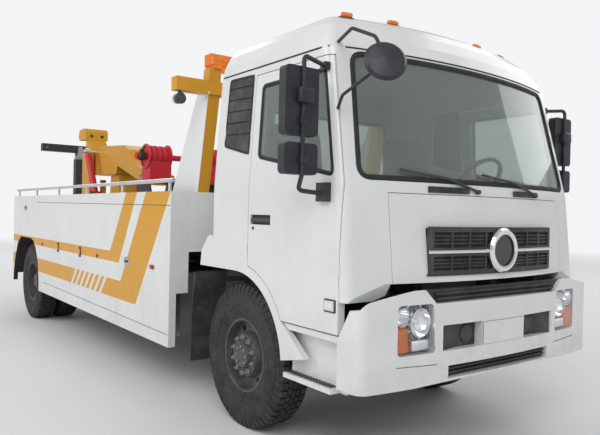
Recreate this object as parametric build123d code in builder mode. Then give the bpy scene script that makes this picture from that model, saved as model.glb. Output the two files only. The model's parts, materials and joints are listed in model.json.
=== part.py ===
from build123d import *
import os
from math import atan2, cos, hypot, radians, sin

os.makedirs("parts", exist_ok=True)

# Frame: the truck faces -Y, its left side is +X and +Z is up. Z = 0 is the road.
# The origin lies under the middle of the truck's length, so the front axle is ahead of it.

# Driving dimensions, in millimetres
FRONT_AXLE_Y = -2925.0
WHEELBASE = 5320.0
REAR_AXLE_Y = FRONT_AXLE_Y + WHEELBASE
CAB_HALF = 1150.0
BODY_HALF = 1235.0
RUN_GAP = 0.5
SEAT_GAP = 0.3
GLASS_GAP = 0.4

# Reach of cuts that pass right through: past the truck's sides, and from ahead of the cab to behind it
PAST_SIDE = 1300.0
ACROSS = (-PAST_SIDE, PAST_SIDE)
CAB_LENGTH = (FRONT_AXLE_Y - 1600.0, FRONT_AXLE_Y + 400.0)

# Tyres and wheels
TYRE_RADIUS = 510.0
TYRE_WIDTH = 258.0
TREAD_WIDTH = 200.0
RIM_RADIUS = 254.0
RIM_LIP = 18.0
RIM_HALF = 90.0
RIM_EDGE = RIM_HALF + 12.0
FRONT_TYRE_X = 915.0
TYRE_INSET = 158.0
REAR_OUTER_X = BODY_HALF - TYRE_INSET
DUAL_SPACING = 300.0
REAR_INNER_X = REAR_OUTER_X - DUAL_SPACING
DUAL_DISC_X = (REAR_OUTER_X + REAR_INNER_X) / 2
HAND_HOLES = 6
HAND_HOLE_RADIUS = 25.0
HAND_HOLE_RING = 200.0
KINGPIN_X = 790.0
KINGPIN_RADIUS = 22.0
SPINDLE_RADIUS = 38.0
DRUM_RADIUS = 205.0

# Chassis frame
RAIL_OUTER_X = 430.0
RAIL_FLANGE = 80.0
RAIL_TOP = 1030.0
RAIL_DEPTH = 250.0
RAIL_BOTTOM = RAIL_TOP - RAIL_DEPTH
RAIL_WALL = 10.0
RAIL_FRONT_Y = FRONT_AXLE_Y - 1260.0
RAIL_BACK_Y = FRONT_AXLE_Y + 6150.0
SPRING_X = 428.0
SPRING_WIDTH = 76.0
SPRING_DEPTH = 70.0
BEAM_DEPTH = 90.0
BEAM_WIDTH = 90.0

# Cab
CAB_WALL = 50.0
GLASS_WALL = 8.0
GLASS_INSET = 6.0
CAB_BASE = 860.0
PANEL_BASE = 1150.0
LID_HALF = 860.0
LID_TOP = 1662.0
LID_GAP = 4.0
WAIST = 1700.0
GUTTER = 2510.0
FLOOR_TOP = 1230.0
FLOOR_WALL = 40.0
FRONT_BOW = 168.0
CAB_CORNER = 70.0
CAB_BACK_CORNER = 60.0
DOOR_GAP = 6.0
DOOR_INNER_X = 1045.0

# Recovery body
BODY_FRONT_Y = FRONT_AXLE_Y + 790.0
BODY_BACK_Y = FRONT_AXLE_Y + 6250.0
BODY_TOP = 1690.0
BODY_BASE = 437.0
SKIRT_WALL = 60.0
LOCKER_DEPTH = 165.0
LOCKER_BASE = 866.0
DECK_TOP = 1655.0
DECK_WALL = 40.0
PLATFORM_BASE = 1200.0
ARCH_TOP = 1110.0
WELL_HALF = 320.0
WELL_FRONT_Y = FRONT_AXLE_Y + 5730.0

# Boom
BOOM_PIVOT_Y = FRONT_AXLE_Y + 3860.0
BOOM_PIVOT_Z = 1930.0
BOOM_HALF = 180.0
BOOM_WALL = 16.0
SLIDE_HALF = 140.0
SLIDE_BOTTOM = 2110.0
SLIDE_TOP = 2400.0
HEAD_HALF = 180.0
HEAD_BASE = 2645.0
HEAD_TOP = 2825.0
RAM_X = 335.0
RAM_RADIUS = 48.0
RAM_ROD_RADIUS = 28.0
RAM_FOOT_Y = FRONT_AXLE_Y + 5300.0
RAM_FOOT_Z = 1745.0
RAM_HEAD_Y = FRONT_AXLE_Y + 5685.0
RAM_HEAD_Z = 2395.0

# Underlift
MAST_FRONT_Y = FRONT_AXLE_Y + 5770.0
MAST_BACK_Y = FRONT_AXLE_Y + 6120.0
MAST_INNER_X = 215.0
MAST_OUTER_X = 275.0
MAST_BASE = 500.0
MAST_TOP = 2450.0
FOLD_Y = FRONT_AXLE_Y + 7200.0
FOLD_Z = 750.0
FOLD_PIN_RADIUS = 25.0
ARM_HALF = 70.0
ARM_WALL = 10.0
ARM_TOP = 2380.0
INNER_HALF = ARM_HALF - ARM_WALL - RUN_GAP
BAR_BOTTOM = 2490.0
BAR_SIZE = 125.0
BAR_HALF_LENGTH = 620.0
BAR_Z = BAR_BOTTOM + BAR_SIZE / 2
SWIVEL_RADIUS = 22.0
SOCKET_RADIUS = 20.0
SOCKET_X = 540.0


def keep(piece, name):
    """Label a finished piece and write it as its own STEP file."""
    piece.part.label = name
    export_step(piece.part, f"parts/{name}.step")


def block(x, y, z, mode=Mode.ADD):
    """A box between pairs of X, Y and Z values."""
    centre = tuple((low + high) / 2 for low, high in (x, y, z))
    size = tuple(high - low for low, high in (x, y, z))
    with Locations(centre):
        Box(*size, mode=mode)


def side_shape(points, x, mode=Mode.ADD, radius=0, arc=None):
    """A prism between two X values, from a side view outline of (Y, Z) points.

    Three points from the number given as arc lie on an arc, the others are joined by lines.
    """
    with BuildSketch(Plane.YZ.offset(x[0])) as outline:
        with BuildLine():
            if arc is None:
                Polyline(*points, close=True)
            else:
                ThreePointArc(*points[arc:arc + 3])
                Polyline(*points[arc + 2:], *points[:arc + 1])
        make_face()
        if radius:
            fillet(outline.vertices(), radius)
    extrude(outline.sketch, amount=x[1] - x[0], mode=mode)


def front_shape(points, y, mode=Mode.ADD, radius=0):
    """A prism between two Y values, from a front view outline of (X, Z) points."""
    with BuildSketch(Plane.XZ.offset(-y[0])) as outline:
        with BuildLine():
            Polyline(*points, close=True)
        make_face()
        if radius:
            fillet(outline.vertices(), radius)
    extrude(outline.sketch, amount=y[0] - y[1], mode=mode)


def rod(start, end, radius, mode=Mode.ADD):
    """A round bar between two points."""
    way = Vector(*end) - Vector(*start)
    with BuildSketch(Plane(origin=start, z_dir=way)) as section:
        Circle(radius)
    extrude(section.sketch, amount=way.length, mode=mode)


def turned(points, centre, axis, mode=Mode.ADD):
    """A solid of revolution from (along the axis, radius) points about an axis through a centre."""
    along = Vector(*axis)
    across = Vector(0, 0, 1) if abs(along.Z) < 0.9 else Vector(0, 1, 0)
    with BuildSketch(Plane(origin=centre, x_dir=along, z_dir=along.cross(across))) as profile:
        with BuildLine():
            Polyline(*points, close=True)
        make_face()
    revolve(profile.sketch, axis=Axis(centre, axis), mode=mode)


def rod_x(x, y, height, radius, mode=Mode.ADD):
    """A round bar along X between a pair of X values."""
    rod((x[0], y, height), (x[1], y, height), radius, mode)


def rod_z(x, y, z, radius, mode=Mode.ADD):
    """An upright round bar between a pair of heights."""
    rod((x, y, z[0]), (x, y, z[1]), radius, mode)


def bent_tube(points, radius, bend, mode=Mode.ADD):
    """A round tube along straight runs joined by bends."""
    with BuildLine() as route:
        FilletPolyline(*points, radius=bend)
    with BuildSketch(Plane(origin=route.line @ 0, z_dir=route.line % 0)) as section:
        Circle(radius)
    sweep(section.sketch, path=route.line, mode=mode)


def at(points, y_zero=FRONT_AXLE_Y):
    """Turn (distance behind the front axle, height) pairs into (Y, Z) points."""
    return [(y_zero + back, height) for back, height in points]


def behind(low, high):
    """A pair of Y values from distances behind the front axle."""
    return (FRONT_AXLE_Y + low, FRONT_AXLE_Y + high)


def around(middle, half):
    """A pair of values on both sides of a middle."""
    return (middle - half, middle + half)


def on_side(side, inner, outer):
    """A pair of X values on the left (1) or the right (-1), in rising order."""
    return sorted((side * inner, side * outer))


# Cab envelope: columns are height, half width, front Y and back Y behind the front axle
CAB_SECTIONS = [
    (CAB_BASE, CAB_HALF, -1432, 285),
    (WAIST, CAB_HALF, -1350, 285),
    (GUTTER, 1098, -1162, 285),
    (2590, 1078, -1128, 280),
    (2670, 1040, -1080, 268),
    (2730, 985, -1018, 250),
    (2780, 890, -920, 215),
    (2812, 740, -780, 160),
]


def cab_envelope(inset, top_inset):
    """The cab's closed outer form, or with an inset the form of its inner faces."""
    with BuildPart() as envelope:
        for number, (height, half, front, back) in enumerate(CAB_SECTIONS):
            lift = top_inset if height > GUTTER else 0
            front_y = FRONT_AXLE_Y + front + inset
            back_y = FRONT_AXLE_Y + back - inset
            side_x = half - inset
            with BuildSketch(Plane.XY.offset(height - lift)) as section:
                with BuildLine():
                    ThreePointArc((-side_x, front_y + FRONT_BOW), (0, front_y), (side_x, front_y + FRONT_BOW))
                    Polyline((side_x, front_y + FRONT_BOW), (side_x, back_y), (-side_x, back_y),
                             (-side_x, front_y + FRONT_BOW))
                make_face()
                fillet(section.vertices().group_by(Axis.Y)[0], CAB_CORNER - inset)
                fillet(section.vertices().group_by(Axis.Y)[-1], CAB_BACK_CORNER - inset)
        loft(ruled=True)
    return envelope.part


cab_outer = cab_envelope(0, 0)
cab_inner = cab_envelope(CAB_WALL, 40.0)
cab_seat = cab_envelope(-SEAT_GAP, 0)

# Side view outlines of the cab, as distance behind the front axle and height
SEAM = [(-637, 862), (-480, 1055), (-246, 1169)]
FENDER_TOP_GAP = 0.4


def beside_seam(gap):
    """The arc of the seam between door and fender, moved towards the door."""
    return [(back - 0.62 * gap, height + 0.79 * gap) for back, height in SEAM]


door_outline = at([(-1180, 868), *beside_seam(DOOR_GAP), (-240, 1182), (-240, 2455), (-1010, 2455),
                   (-1180, 1700)])
door_gap_outline = at([(-1186, 840), *beside_seam(0.2), (-234, 1176), (-234, 2461), (-1015, 2461),
                       (-1186, 1701)])
glass_outline = at([(-1118, 1748), (-322, 1895), (-317, 2383), (-978, 2383)])
glass_edge = at([(-1117.6, 1748.5), (-322.4, 1895.4), (-317.4, 2382.6), (-977.7, 2382.6)])
VENT = [(-206, 1925), (129, 2001), (111, 2480), (-206, 2470)]
cab_lower_line = at([(-1600, 800), (-1600, PANEL_BASE), (-1300, PANEL_BASE), (-1240, 1050), (-700, 1050),
                     (-700, 1309), (-234, 1309), (400, 1372), (400, 800)])
WINDSCREEN = [(-1040, 1738), (1040, 1738), (972, 2488), (-972, 2488)]
WINDSCREEN_CORNER = 70.0
REAR_WINDOW_HALF = 620.0
REAR_WINDOW_Z = (1780.0, 2340.0)


def drawn_in(points, gap):
    """An outline with each corner moved in by a gap, across and in height."""
    middle_x = sum(x for x, _ in points) / len(points)
    middle_z = sum(z for _, z in points) / len(points)
    return [(x - gap if x > middle_x else x + gap, z - gap if z > middle_z else z + gap) for x, z in points]


# Hinge pins of the doors: columns are the pin's lower and upper end
HINGE_PINS = [(1060, 1130), (1190, 1260)]
HINGE_X = CAB_HALF + 2.0
HINGE_Y = FRONT_AXLE_Y - 1186.0
HINGE_RADIUS = DOOR_GAP - RUN_GAP

# Cab shell: pillars, rear wall and sides, open at the doors, windscreen and vents
with BuildPart() as cab_shell:
    add(cab_outer)
    add(cab_inner, mode=Mode.SUBTRACT)
    block(ACROSS, CAB_LENGTH, (GUTTER, 2900), mode=Mode.SUBTRACT)
    side_shape(cab_lower_line, ACROSS, mode=Mode.SUBTRACT)
    for x in ((-PAST_SIDE, -DOOR_INNER_X + DOOR_GAP), (DOOR_INNER_X - DOOR_GAP, PAST_SIDE)):
        side_shape(door_gap_outline, x, mode=Mode.SUBTRACT, arc=1)
    side_shape(at(VENT), ACROSS, mode=Mode.SUBTRACT)
    front_shape(WINDSCREEN, behind(-1600, -900), mode=Mode.SUBTRACT, radius=WINDSCREEN_CORNER)
    block((-LID_HALF - LID_GAP, LID_HALF + LID_GAP), behind(-1600, -1180),
          (CAB_BASE, LID_TOP + LID_GAP), mode=Mode.SUBTRACT)
    block((-REAR_WINDOW_HALF, REAR_WINDOW_HALF), behind(0, 400), REAR_WINDOW_Z, mode=Mode.SUBTRACT)
    block((-760, 760), behind(235, 285), (FLOOR_TOP - FLOOR_WALL, 1400))
    for side in (-1, 1):
        for low, high in HINGE_PINS:
            rod_z(side * HINGE_X, HINGE_Y, (low, high), HINGE_RADIUS)
keep(cab_shell, "cab_shell")

# Cab floor between the walls, clear of the doors and their hinges, standing on the rails by four mounts
FLOOR_EDGE = CAB_HALF - CAB_WALL - DOOR_GAP
HINGE_CLEAR_Y = FRONT_AXLE_Y - 1060.0
with BuildPart() as cab_floor:
    block((-1200, 1200), behind(-1500, 400), (FLOOR_TOP - FLOOR_WALL, FLOOR_TOP))
    add(cab_envelope(CAB_WALL + SEAT_GAP, 0), mode=Mode.INTERSECT)
    for x in ((-PAST_SIDE, -FLOOR_EDGE), (FLOOR_EDGE, PAST_SIDE)):
        side_shape(door_gap_outline, x, mode=Mode.SUBTRACT, arc=1)
    for x in ((-PAST_SIDE, -DOOR_INNER_X + DOOR_GAP), (DOOR_INNER_X - DOOR_GAP, PAST_SIDE)):
        block(x, (FRONT_AXLE_Y - 1300, HINGE_CLEAR_Y), (FLOOR_TOP - FLOOR_WALL, FLOOR_TOP),
              mode=Mode.SUBTRACT)
    for side in (-1, 1):
        for back in (-1000, 130):
            block(on_side(side, RAIL_OUTER_X - RAIL_FLANGE, RAIL_OUTER_X),
                  around(FRONT_AXLE_Y + back, 75), (RAIL_TOP + SEAT_GAP, FLOOR_TOP - FLOOR_WALL))
keep(cab_floor, "cab_floor")

# Roof, from the gutter up
with BuildPart() as cab_roof:
    add(cab_outer)
    add(cab_inner, mode=Mode.SUBTRACT)
    block(ACROSS, CAB_LENGTH, (CAB_BASE - 10, GUTTER), mode=Mode.SUBTRACT)
keep(cab_roof, "cab_roof")

# Front panel under the windscreen, open for the grille
GRILLE_HALF = 616.0
GRILLE_BOTTOM = 1195.0
GRILLE_TOP = 1466.0
with BuildPart() as front_panel:
    add(cab_outer)
    add(cab_inner, mode=Mode.SUBTRACT)
    block((-LID_HALF, LID_HALF), behind(-1600, -1180), (PANEL_BASE, LID_TOP), mode=Mode.INTERSECT)
    front_shape([(-GRILLE_HALF, GRILLE_BOTTOM), (GRILLE_HALF, GRILLE_BOTTOM), (GRILLE_HALF, GRILLE_TOP),
                 (-GRILLE_HALF, GRILLE_TOP)], behind(-1600, -1246), mode=Mode.SUBTRACT)
keep(front_panel, "front_panel")

# Glass of the windscreen and the rear window
glass_outer = cab_envelope(GLASS_INSET, 0)
glass_inner = cab_envelope(GLASS_INSET + GLASS_WALL, 0)
with BuildPart() as cab_glass:
    add(glass_outer)
    add(glass_inner, mode=Mode.SUBTRACT)
    front_shape(drawn_in(WINDSCREEN, GLASS_GAP), behind(-1600, -900), mode=Mode.INTERSECT,
                radius=WINDSCREEN_CORNER)
with BuildPart() as rear_window:
    add(glass_outer)
    add(glass_inner, mode=Mode.SUBTRACT)
    block((-REAR_WINDOW_HALF + SEAT_GAP, REAR_WINDOW_HALF - SEAT_GAP), behind(0, 400),
          (REAR_WINDOW_Z[0] + SEAT_GAP, REAR_WINDOW_Z[1] - SEAT_GAP), mode=Mode.INTERSECT)
with BuildPart() as cab_windows:
    add(cab_glass.part)
    add(rear_window.part)
keep(cab_windows, "cab_windows")

# Black louvred panels behind the doors
LOUVRE_GROOVES = 5
LOUVRE_BASE = 2080.0
LOUVRE_PITCH = 82.0
vent_outer = cab_envelope(-4, 0)
vent_inner = cab_envelope(22, 0)
groove_inner = cab_envelope(4, 0)
with BuildPart() as vent_grooves:
    for number in range(LOUVRE_GROOVES):
        height = LOUVRE_BASE + number * LOUVRE_PITCH
        side_shape(at([(-300, height - 20), (200, height), (200, height + 10), (-300, height - 10)]), ACROSS)
    add(vent_outer, mode=Mode.INTERSECT)
    add(groove_inner, mode=Mode.SUBTRACT)
with BuildPart() as quarter_vents:
    add(vent_outer)
    add(vent_inner, mode=Mode.SUBTRACT)
    side_shape(at(drawn_in(VENT, GLASS_GAP)), ACROSS, mode=Mode.INTERSECT)
    add(vent_grooves.part, mode=Mode.SUBTRACT)
keep(quarter_vents, "quarter_vents")

# Doors, each with its window cut
with BuildPart() as door_left:
    add(cab_outer)
    add(cab_inner, mode=Mode.SUBTRACT)
    side_shape(door_outline, (DOOR_INNER_X, PAST_SIDE), mode=Mode.INTERSECT, arc=1)
    side_shape(glass_outline, (900, PAST_SIDE), mode=Mode.SUBTRACT, radius=30)
    block((1128, 1160), behind(-500, -265), (1455, 1520), mode=Mode.SUBTRACT)
keep(door_left, "door_left")
with BuildPart() as door_right:
    mirror(door_left.part, about=Plane.YZ)
keep(door_right, "door_right")
with BuildPart() as door_glass_left:
    add(glass_outer)
    add(glass_inner, mode=Mode.SUBTRACT)
    side_shape(glass_edge, (900, PAST_SIDE), mode=Mode.INTERSECT, radius=30)
keep(door_glass_left, "door_glass_left")
with BuildPart() as door_glass_right:
    mirror(door_glass_left.part, about=Plane.YZ)
keep(door_glass_right, "door_glass_right")

# Upper grille: frame and slats. Openings: columns are the low and the high edge
GRILLE_OPENINGS = ((1218, 1300), (1352, 1444))
GRILLE_COLUMNS = 8
COLUMN_START = -588.0
COLUMN_PITCH = 148.5
COLUMN_WIDTH = 136.0
SLAT_HALF = 600.0
SLAT_HEIGHT = 8.0


def bowed_strip(half, front, bow, depth, z):
    """A strip along the grille's bowed front, between a pair of heights."""
    front_y = FRONT_AXLE_Y + front + bow
    back_y = front_y + depth
    with BuildSketch(Plane.XY.offset(z[0])) as strip:
        with BuildLine():
            ThreePointArc((-half, front_y), (0, front_y - bow), (half, front_y))
            Polyline((half, front_y), (half, back_y))
            ThreePointArc((half, back_y), (0, back_y - bow), (-half, back_y))
            Polyline((-half, back_y), (-half, front_y))
        make_face()
    extrude(strip.sketch, amount=z[1] - z[0])


with BuildPart() as grille:
    bowed_strip(GRILLE_HALF - SEAT_GAP, -1410, 42, 30, (GRILLE_BOTTOM + SEAT_GAP, GRILLE_TOP - SEAT_GAP))
    for low, high in GRILLE_OPENINGS:
        for column in range(GRILLE_COLUMNS):
            x_low = COLUMN_START + column * COLUMN_PITCH
            block((x_low, x_low + COLUMN_WIDTH), behind(-1500, -1300), (low, high), mode=Mode.SUBTRACT)
    for low, high in GRILLE_OPENINGS:
        for row in (1, 2, 3):
            height = low + row * (high - low) / 4
            bowed_strip(SLAT_HALF, -1402, 38, 18, around(height, SLAT_HEIGHT / 2))

# Blank ring in the middle of the grille
with BuildPart() as grille_ring:
    turned([(0, 0), (0, 95), (8, 95), (14, 112), (14, 128), (0, 140), (-18, 140), (-18, 0)],
           (0, FRONT_AXLE_Y - 1410 - 18 - SEAT_GAP, (GRILLE_BOTTOM + GRILLE_TOP) / 2), (0, -1, 0))
keep(grille_ring, "grille_ring")

# Bumper: a bowed shell with openings for lamps and grilles
BUMPER_HALF = 1145.0
BUMPER_BASE = 570.0
BUMPER_TOP = 1118.0
BUMPER_WALL = 60.0
BUMPER_CORNER = 75.0
BUMPER_FRONT_Y = FRONT_AXLE_Y - 1445.0
BUMPER_END_Y = FRONT_AXLE_Y - 1360.0
BUMPER_BACK_Y = FRONT_AXLE_Y - 1175.0
BUMPER_CUT = (BUMPER_FRONT_Y - 100.0, BUMPER_FRONT_Y + 200.0)
GRILLE_PLATE_Y = FRONT_AXLE_Y - 1365.0
LAMP_CORNER = 28.0
FOG_X = (215, 557)
FOG_Z = (758, 907)
SLOT_Z = (597, 670)
SLOT_HALF = 509
NOTCH_Z = 1036
NOTCH_HALF = 612


def lamp_outline(inset):
    """Front view outline of the left headlamp's opening, or set in by an inset."""
    return [(634 + inset, 1038 - inset), (897 - inset, 1038 - inset), (897 - inset, 757 + inset),
            (612 + inset, 757 + inset)]


def notch_outline(inset):
    """Front view outline of the opening in the bumper's top edge."""
    return [(-NOTCH_HALF + inset, NOTCH_Z + inset), (NOTCH_HALF - inset, NOTCH_Z + inset),
            (700 - inset, BUMPER_TOP + 1), (-700 + inset, BUMPER_TOP + 1)]


def bumper_band(inset):
    """Plan view of the bumper's outer face, or set in by an inset."""
    side_x = BUMPER_HALF - inset
    end_y = BUMPER_END_Y + inset
    with BuildSketch(Plane.XY.offset(BUMPER_BASE)) as plan:
        with BuildLine():
            ThreePointArc((-side_x, end_y), (0, BUMPER_FRONT_Y + inset), (side_x, end_y))
            Polyline((side_x, end_y), (side_x, FRONT_AXLE_Y - 1000), (-side_x, FRONT_AXLE_Y - 1000),
                     (-side_x, end_y))
        make_face()
        fillet(plan.vertices().group_by(Axis.Y)[0], BUMPER_CORNER - inset)
    return plan.sketch


bumper_plan = bumper_band(0)
bumper_plan_inner = bumper_band(BUMPER_WALL)
with BuildPart() as bumper:
    extrude(bumper_plan, amount=BUMPER_TOP - BUMPER_BASE)
    extrude(bumper_plan_inner, amount=BUMPER_TOP - BUMPER_BASE, mode=Mode.SUBTRACT)
    side_shape([(BUMPER_FRONT_Y - 100, BUMPER_BASE + 60), (BUMPER_FRONT_Y + 40, BUMPER_BASE),
                (BUMPER_BACK_Y, BUMPER_BASE), (BUMPER_BACK_Y, 842), (BUMPER_BACK_Y - 100, 1017),
                (BUMPER_END_Y + 21, 1026), (BUMPER_END_Y - 45, BUMPER_TOP), (BUMPER_FRONT_Y - 100, BUMPER_TOP)],
               ACROSS, mode=Mode.INTERSECT)
    for side in (-1, 1):
        front_shape([(side * x, z) for x, z in lamp_outline(0)], BUMPER_CUT,
                    mode=Mode.SUBTRACT, radius=LAMP_CORNER)
        block(on_side(side, FOG_X[0], FOG_X[1]), BUMPER_CUT, FOG_Z,
              mode=Mode.SUBTRACT)
    block((-SLOT_HALF, SLOT_HALF), BUMPER_CUT, SLOT_Z, mode=Mode.SUBTRACT)
    front_shape(notch_outline(0), BUMPER_CUT, mode=Mode.SUBTRACT)
    for x in ((-RAIL_OUTER_X, -RAIL_OUTER_X + RAIL_FLANGE), (RAIL_OUTER_X - RAIL_FLANGE, RAIL_OUTER_X)):
        block(x, (GRILLE_PLATE_Y, RAIL_FRONT_Y - SEAT_GAP), (915, 1010))
keep(bumper, "bumper")

# Dark grilles and fog lamp pockets set in the bumper
with BuildPart() as bumper_grilles:
    front_shape(notch_outline(SEAT_GAP), (GRILLE_PLATE_Y - 25, GRILLE_PLATE_Y))
    block((-750, 750), (GRILLE_PLATE_Y - 30, GRILLE_PLATE_Y + 5), (BUMPER_TOP - 6, BUMPER_TOP + 5),
          mode=Mode.SUBTRACT)
    block((-SLOT_HALF + SEAT_GAP, SLOT_HALF - SEAT_GAP), (GRILLE_PLATE_Y - 25, GRILLE_PLATE_Y),
          (SLOT_Z[0] + SEAT_GAP, SLOT_Z[1] - SEAT_GAP))
    for half, heights in ((NOTCH_HALF - 6, (1056, 1084)), (SLOT_HALF - 6, (616, 640))):
        for height in heights:
            block((-half, half), (GRILLE_PLATE_Y - 46, GRILLE_PLATE_Y - 25), (height, height + 10))
    for side in (-1, 1):
        block(on_side(side, FOG_X[0] + SEAT_GAP, FOG_X[1] - SEAT_GAP), (GRILLE_PLATE_Y - 20, GRILLE_PLATE_Y),
              (FOG_Z[0] + SEAT_GAP, FOG_Z[1] - SEAT_GAP))
        cheek_x = side * (FOG_X[1] - SEAT_GAP)
        with BuildSketch(Plane.XY.offset(FOG_Z[0] + SEAT_GAP)) as cheek:
            with BuildLine():
                Polyline((cheek_x, GRILLE_PLATE_Y - 48), (cheek_x, GRILLE_PLATE_Y - 19),
                         (side * 390, GRILLE_PLATE_Y - 19), close=True)
            make_face()
        extrude(cheek.sketch, amount=FOG_Z[1] - FOG_Z[0] - 2 * SEAT_GAP)
    add(grille.part)
keep(bumper_grilles, "grilles")

# Headlamps in the bumper's ends
with BuildPart() as headlamps:
    for side in (-1, 1):
        front_shape([(side * x, z) for x, z in lamp_outline(SEAT_GAP)],
                    (BUMPER_FRONT_Y - 100, BUMPER_FRONT_Y + 170), radius=LAMP_CORNER)
    extrude(bumper_band(4), amount=BUMPER_TOP - BUMPER_BASE, mode=Mode.INTERSECT)
keep(headlamps, "headlamps")

# Fenders over the front wheels, each with a foot under the door, and the sills with the lower step
FENDER_WALL = 30.0
FENDER_X = (780.0, 1110.0, 1150.0)
ARCH_Y = FRONT_AXLE_Y - 78.0
ARCH_Z = 557.0
ARCH_RADIUS = 572.0
FENDER_BACK_Y = FRONT_AXLE_Y + 432.0
SILL_X = (1050.0, 1066.0, 1138.0)
SILL_Y = (BUMPER_BACK_Y + SEAT_GAP, FRONT_AXLE_Y - 660.0)
SILL_BASE = 822.0
SILL_TOP = 857.0
STEP_Z = (522.0, 551.0)
fender_outline = at([(-889, 674), *SEAM, (-236, 1178), (-228, 1309), (300, 1362 - FENDER_TOP_GAP), (330, 1340),
                     (414, 1243), (432, 1129), (432, 1000), (-646, 621)])
with BuildPart() as fenders:
    rod_x(FENDER_X[:2], ARCH_Y, ARCH_Z, ARCH_RADIUS + FENDER_WALL)
    block(FENDER_X[:2], (ARCH_Y, FENDER_BACK_Y + 100), (ARCH_Z, ARCH_Z + ARCH_RADIUS + FENDER_WALL))
    side_shape(fender_outline, FENDER_X[:2], mode=Mode.INTERSECT, arc=1)
    side_shape(fender_outline, FENDER_X[1:], arc=1)
    rod_x((700, 1200), ARCH_Y, ARCH_Z, ARCH_RADIUS, mode=Mode.SUBTRACT)
    block((700, 1200), (ARCH_Y, FENDER_BACK_Y + 100), (400, ARCH_Z + ARCH_RADIUS), mode=Mode.SUBTRACT)
    side_shape([(SILL_Y[0], SILL_BASE), (FRONT_AXLE_Y - 703, SILL_BASE), (FRONT_AXLE_Y - 657, SILL_TOP),
                (SILL_Y[0], SILL_TOP)], (SILL_X[0], SILL_X[2]))
    block(SILL_X[:2], SILL_Y, (STEP_Z[0], SILL_BASE))
    block((SILL_X[0] - 230, SILL_X[2]), (SILL_Y[0] + 60, SILL_Y[1]), STEP_Z)
    mirror(about=Plane.YZ)
keep(fenders, "fenders")

# Dark wells behind the steps, between bumper and wheel
with BuildPart() as cab_steps:
    block((740, 800), (SILL_Y[0], FRONT_AXLE_Y - 705), (575, FLOOR_TOP - FLOOR_WALL - SEAT_GAP))
    block((800, SILL_X[0] - SEAT_GAP), (SILL_Y[0], FRONT_AXLE_Y - 705), (800, SILL_TOP))
    mirror(about=Plane.YZ)
keep(cab_steps, "cab_steps")

# Black mudguards hanging behind the front wheels
with BuildPart() as mudguards:
    side_shape(at([(640, 1050), (660, 1050), (700, 760), (715, 330), (700, 330), (684, 755)]),
               (RAIL_OUTER_X + 360, BODY_HALF - 155))
    block((RAIL_OUTER_X + SEAT_GAP, RAIL_OUTER_X + 370), behind(645, 665), (960, 1000))
    mirror(about=Plane.YZ)

# Black liners over the rear wheels, hung from the platform
LINER_RADIUS = 572.0
LINER_WALL = 12.0
LINER_X = (640.0, BODY_HALF - LOCKER_DEPTH - 10.0)
with BuildPart() as arch_liners:
    rod_x(LINER_X, REAR_AXLE_Y, TYRE_RADIUS, LINER_RADIUS + LINER_WALL)
    rod_x(LINER_X, REAR_AXLE_Y, TYRE_RADIUS, LINER_RADIUS, mode=Mode.SUBTRACT)
    block((0, PAST_SIDE), around(REAR_AXLE_Y, 700), (-200, TYRE_RADIUS + 50), mode=Mode.SUBTRACT)
    block((LINER_X[1] - 26, LINER_X[1]), around(REAR_AXLE_Y, 30),
          (TYRE_RADIUS + LINER_RADIUS + 4, PLATFORM_BASE - SEAT_GAP))
    mirror(about=Plane.YZ)
    add(mudguards.part)
keep(arch_liners, "mudguards")

# Seats
with BuildPart() as seats:
    for x in (-620, 540):
        block((x - 240, x + 240), behind(-560, -80), (FLOOR_TOP + SEAT_GAP, FLOOR_TOP + 200))
        block((x - 250, x + 250), behind(-580, -60), (FLOOR_TOP + 200, FLOOR_TOP + 320))
        side_shape(at([(-150, 1540), (-50, 1540), (70, 2180), (0, 2200), (-40, 2180)]), (x - 235, x + 235))
keep(seats, "seats")

# Dashboard with the steering column and wheel
with BuildPart() as dashboard:
    side_shape(at([(-1210, FLOOR_TOP), (-1160, FLOOR_TOP), (-960, 1560), (-960, 1700), (-1060, 1745),
                   (-1210, 1700)]), (-1040, 1040))
    add(cab_envelope(CAB_WALL + 5, 60.0), mode=Mode.INTERSECT)
    rod((540, FRONT_AXLE_Y - 1010, 1631), (540, FRONT_AXLE_Y - 800, 1790), 28)
    turned([(-12, 208), (12, 208), (12, 232), (-12, 232)], (540, FRONT_AXLE_Y - 800, 1790), (0, 0.797, 0.604))
    turned([(-14, 0), (-14, 60), (10, 60), (10, 0)], (540, FRONT_AXLE_Y - 800, 1790), (0, 0.797, 0.604))
    rod_x((320, 760), FRONT_AXLE_Y - 800, 1790, 11)
keep(dashboard, "dashboard")

# Engine with its gearbox, one plain block under the cab
with BuildPart() as engine:
    block((-300, 300), behind(-1000, 250), (640, 1180))
    side_shape(at([(250, 680), (900, 740), (900, 1020), (250, 1100)]), (-220, 220))
keep(engine, "engine")

# Chassis frame: two channel rails with cross members
MEMBER_HALF = RAIL_OUTER_X - RAIL_WALL - SEAT_GAP
with BuildPart() as chassis_frame:
    for side in (-1, 1):
        block(on_side(side, RAIL_OUTER_X - RAIL_FLANGE, RAIL_OUTER_X), (RAIL_FRONT_Y, RAIL_BACK_Y),
              (RAIL_BOTTOM, RAIL_TOP))
        block(on_side(side, RAIL_OUTER_X - RAIL_FLANGE - 1, RAIL_OUTER_X - RAIL_WALL),
              (RAIL_FRONT_Y - 1, RAIL_BACK_Y + 1), (RAIL_BOTTOM + RAIL_WALL, RAIL_TOP - RAIL_WALL),
              mode=Mode.SUBTRACT)
    for back in (-1210, 1500, 2300, 3200, 4200, 5020):
        block((-MEMBER_HALF, MEMBER_HALF), around(FRONT_AXLE_Y + back, 30),
              (RAIL_TOP - 150, RAIL_TOP - RAIL_WALL - SEAT_GAP))
keep(chassis_frame, "chassis_frame")

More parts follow.
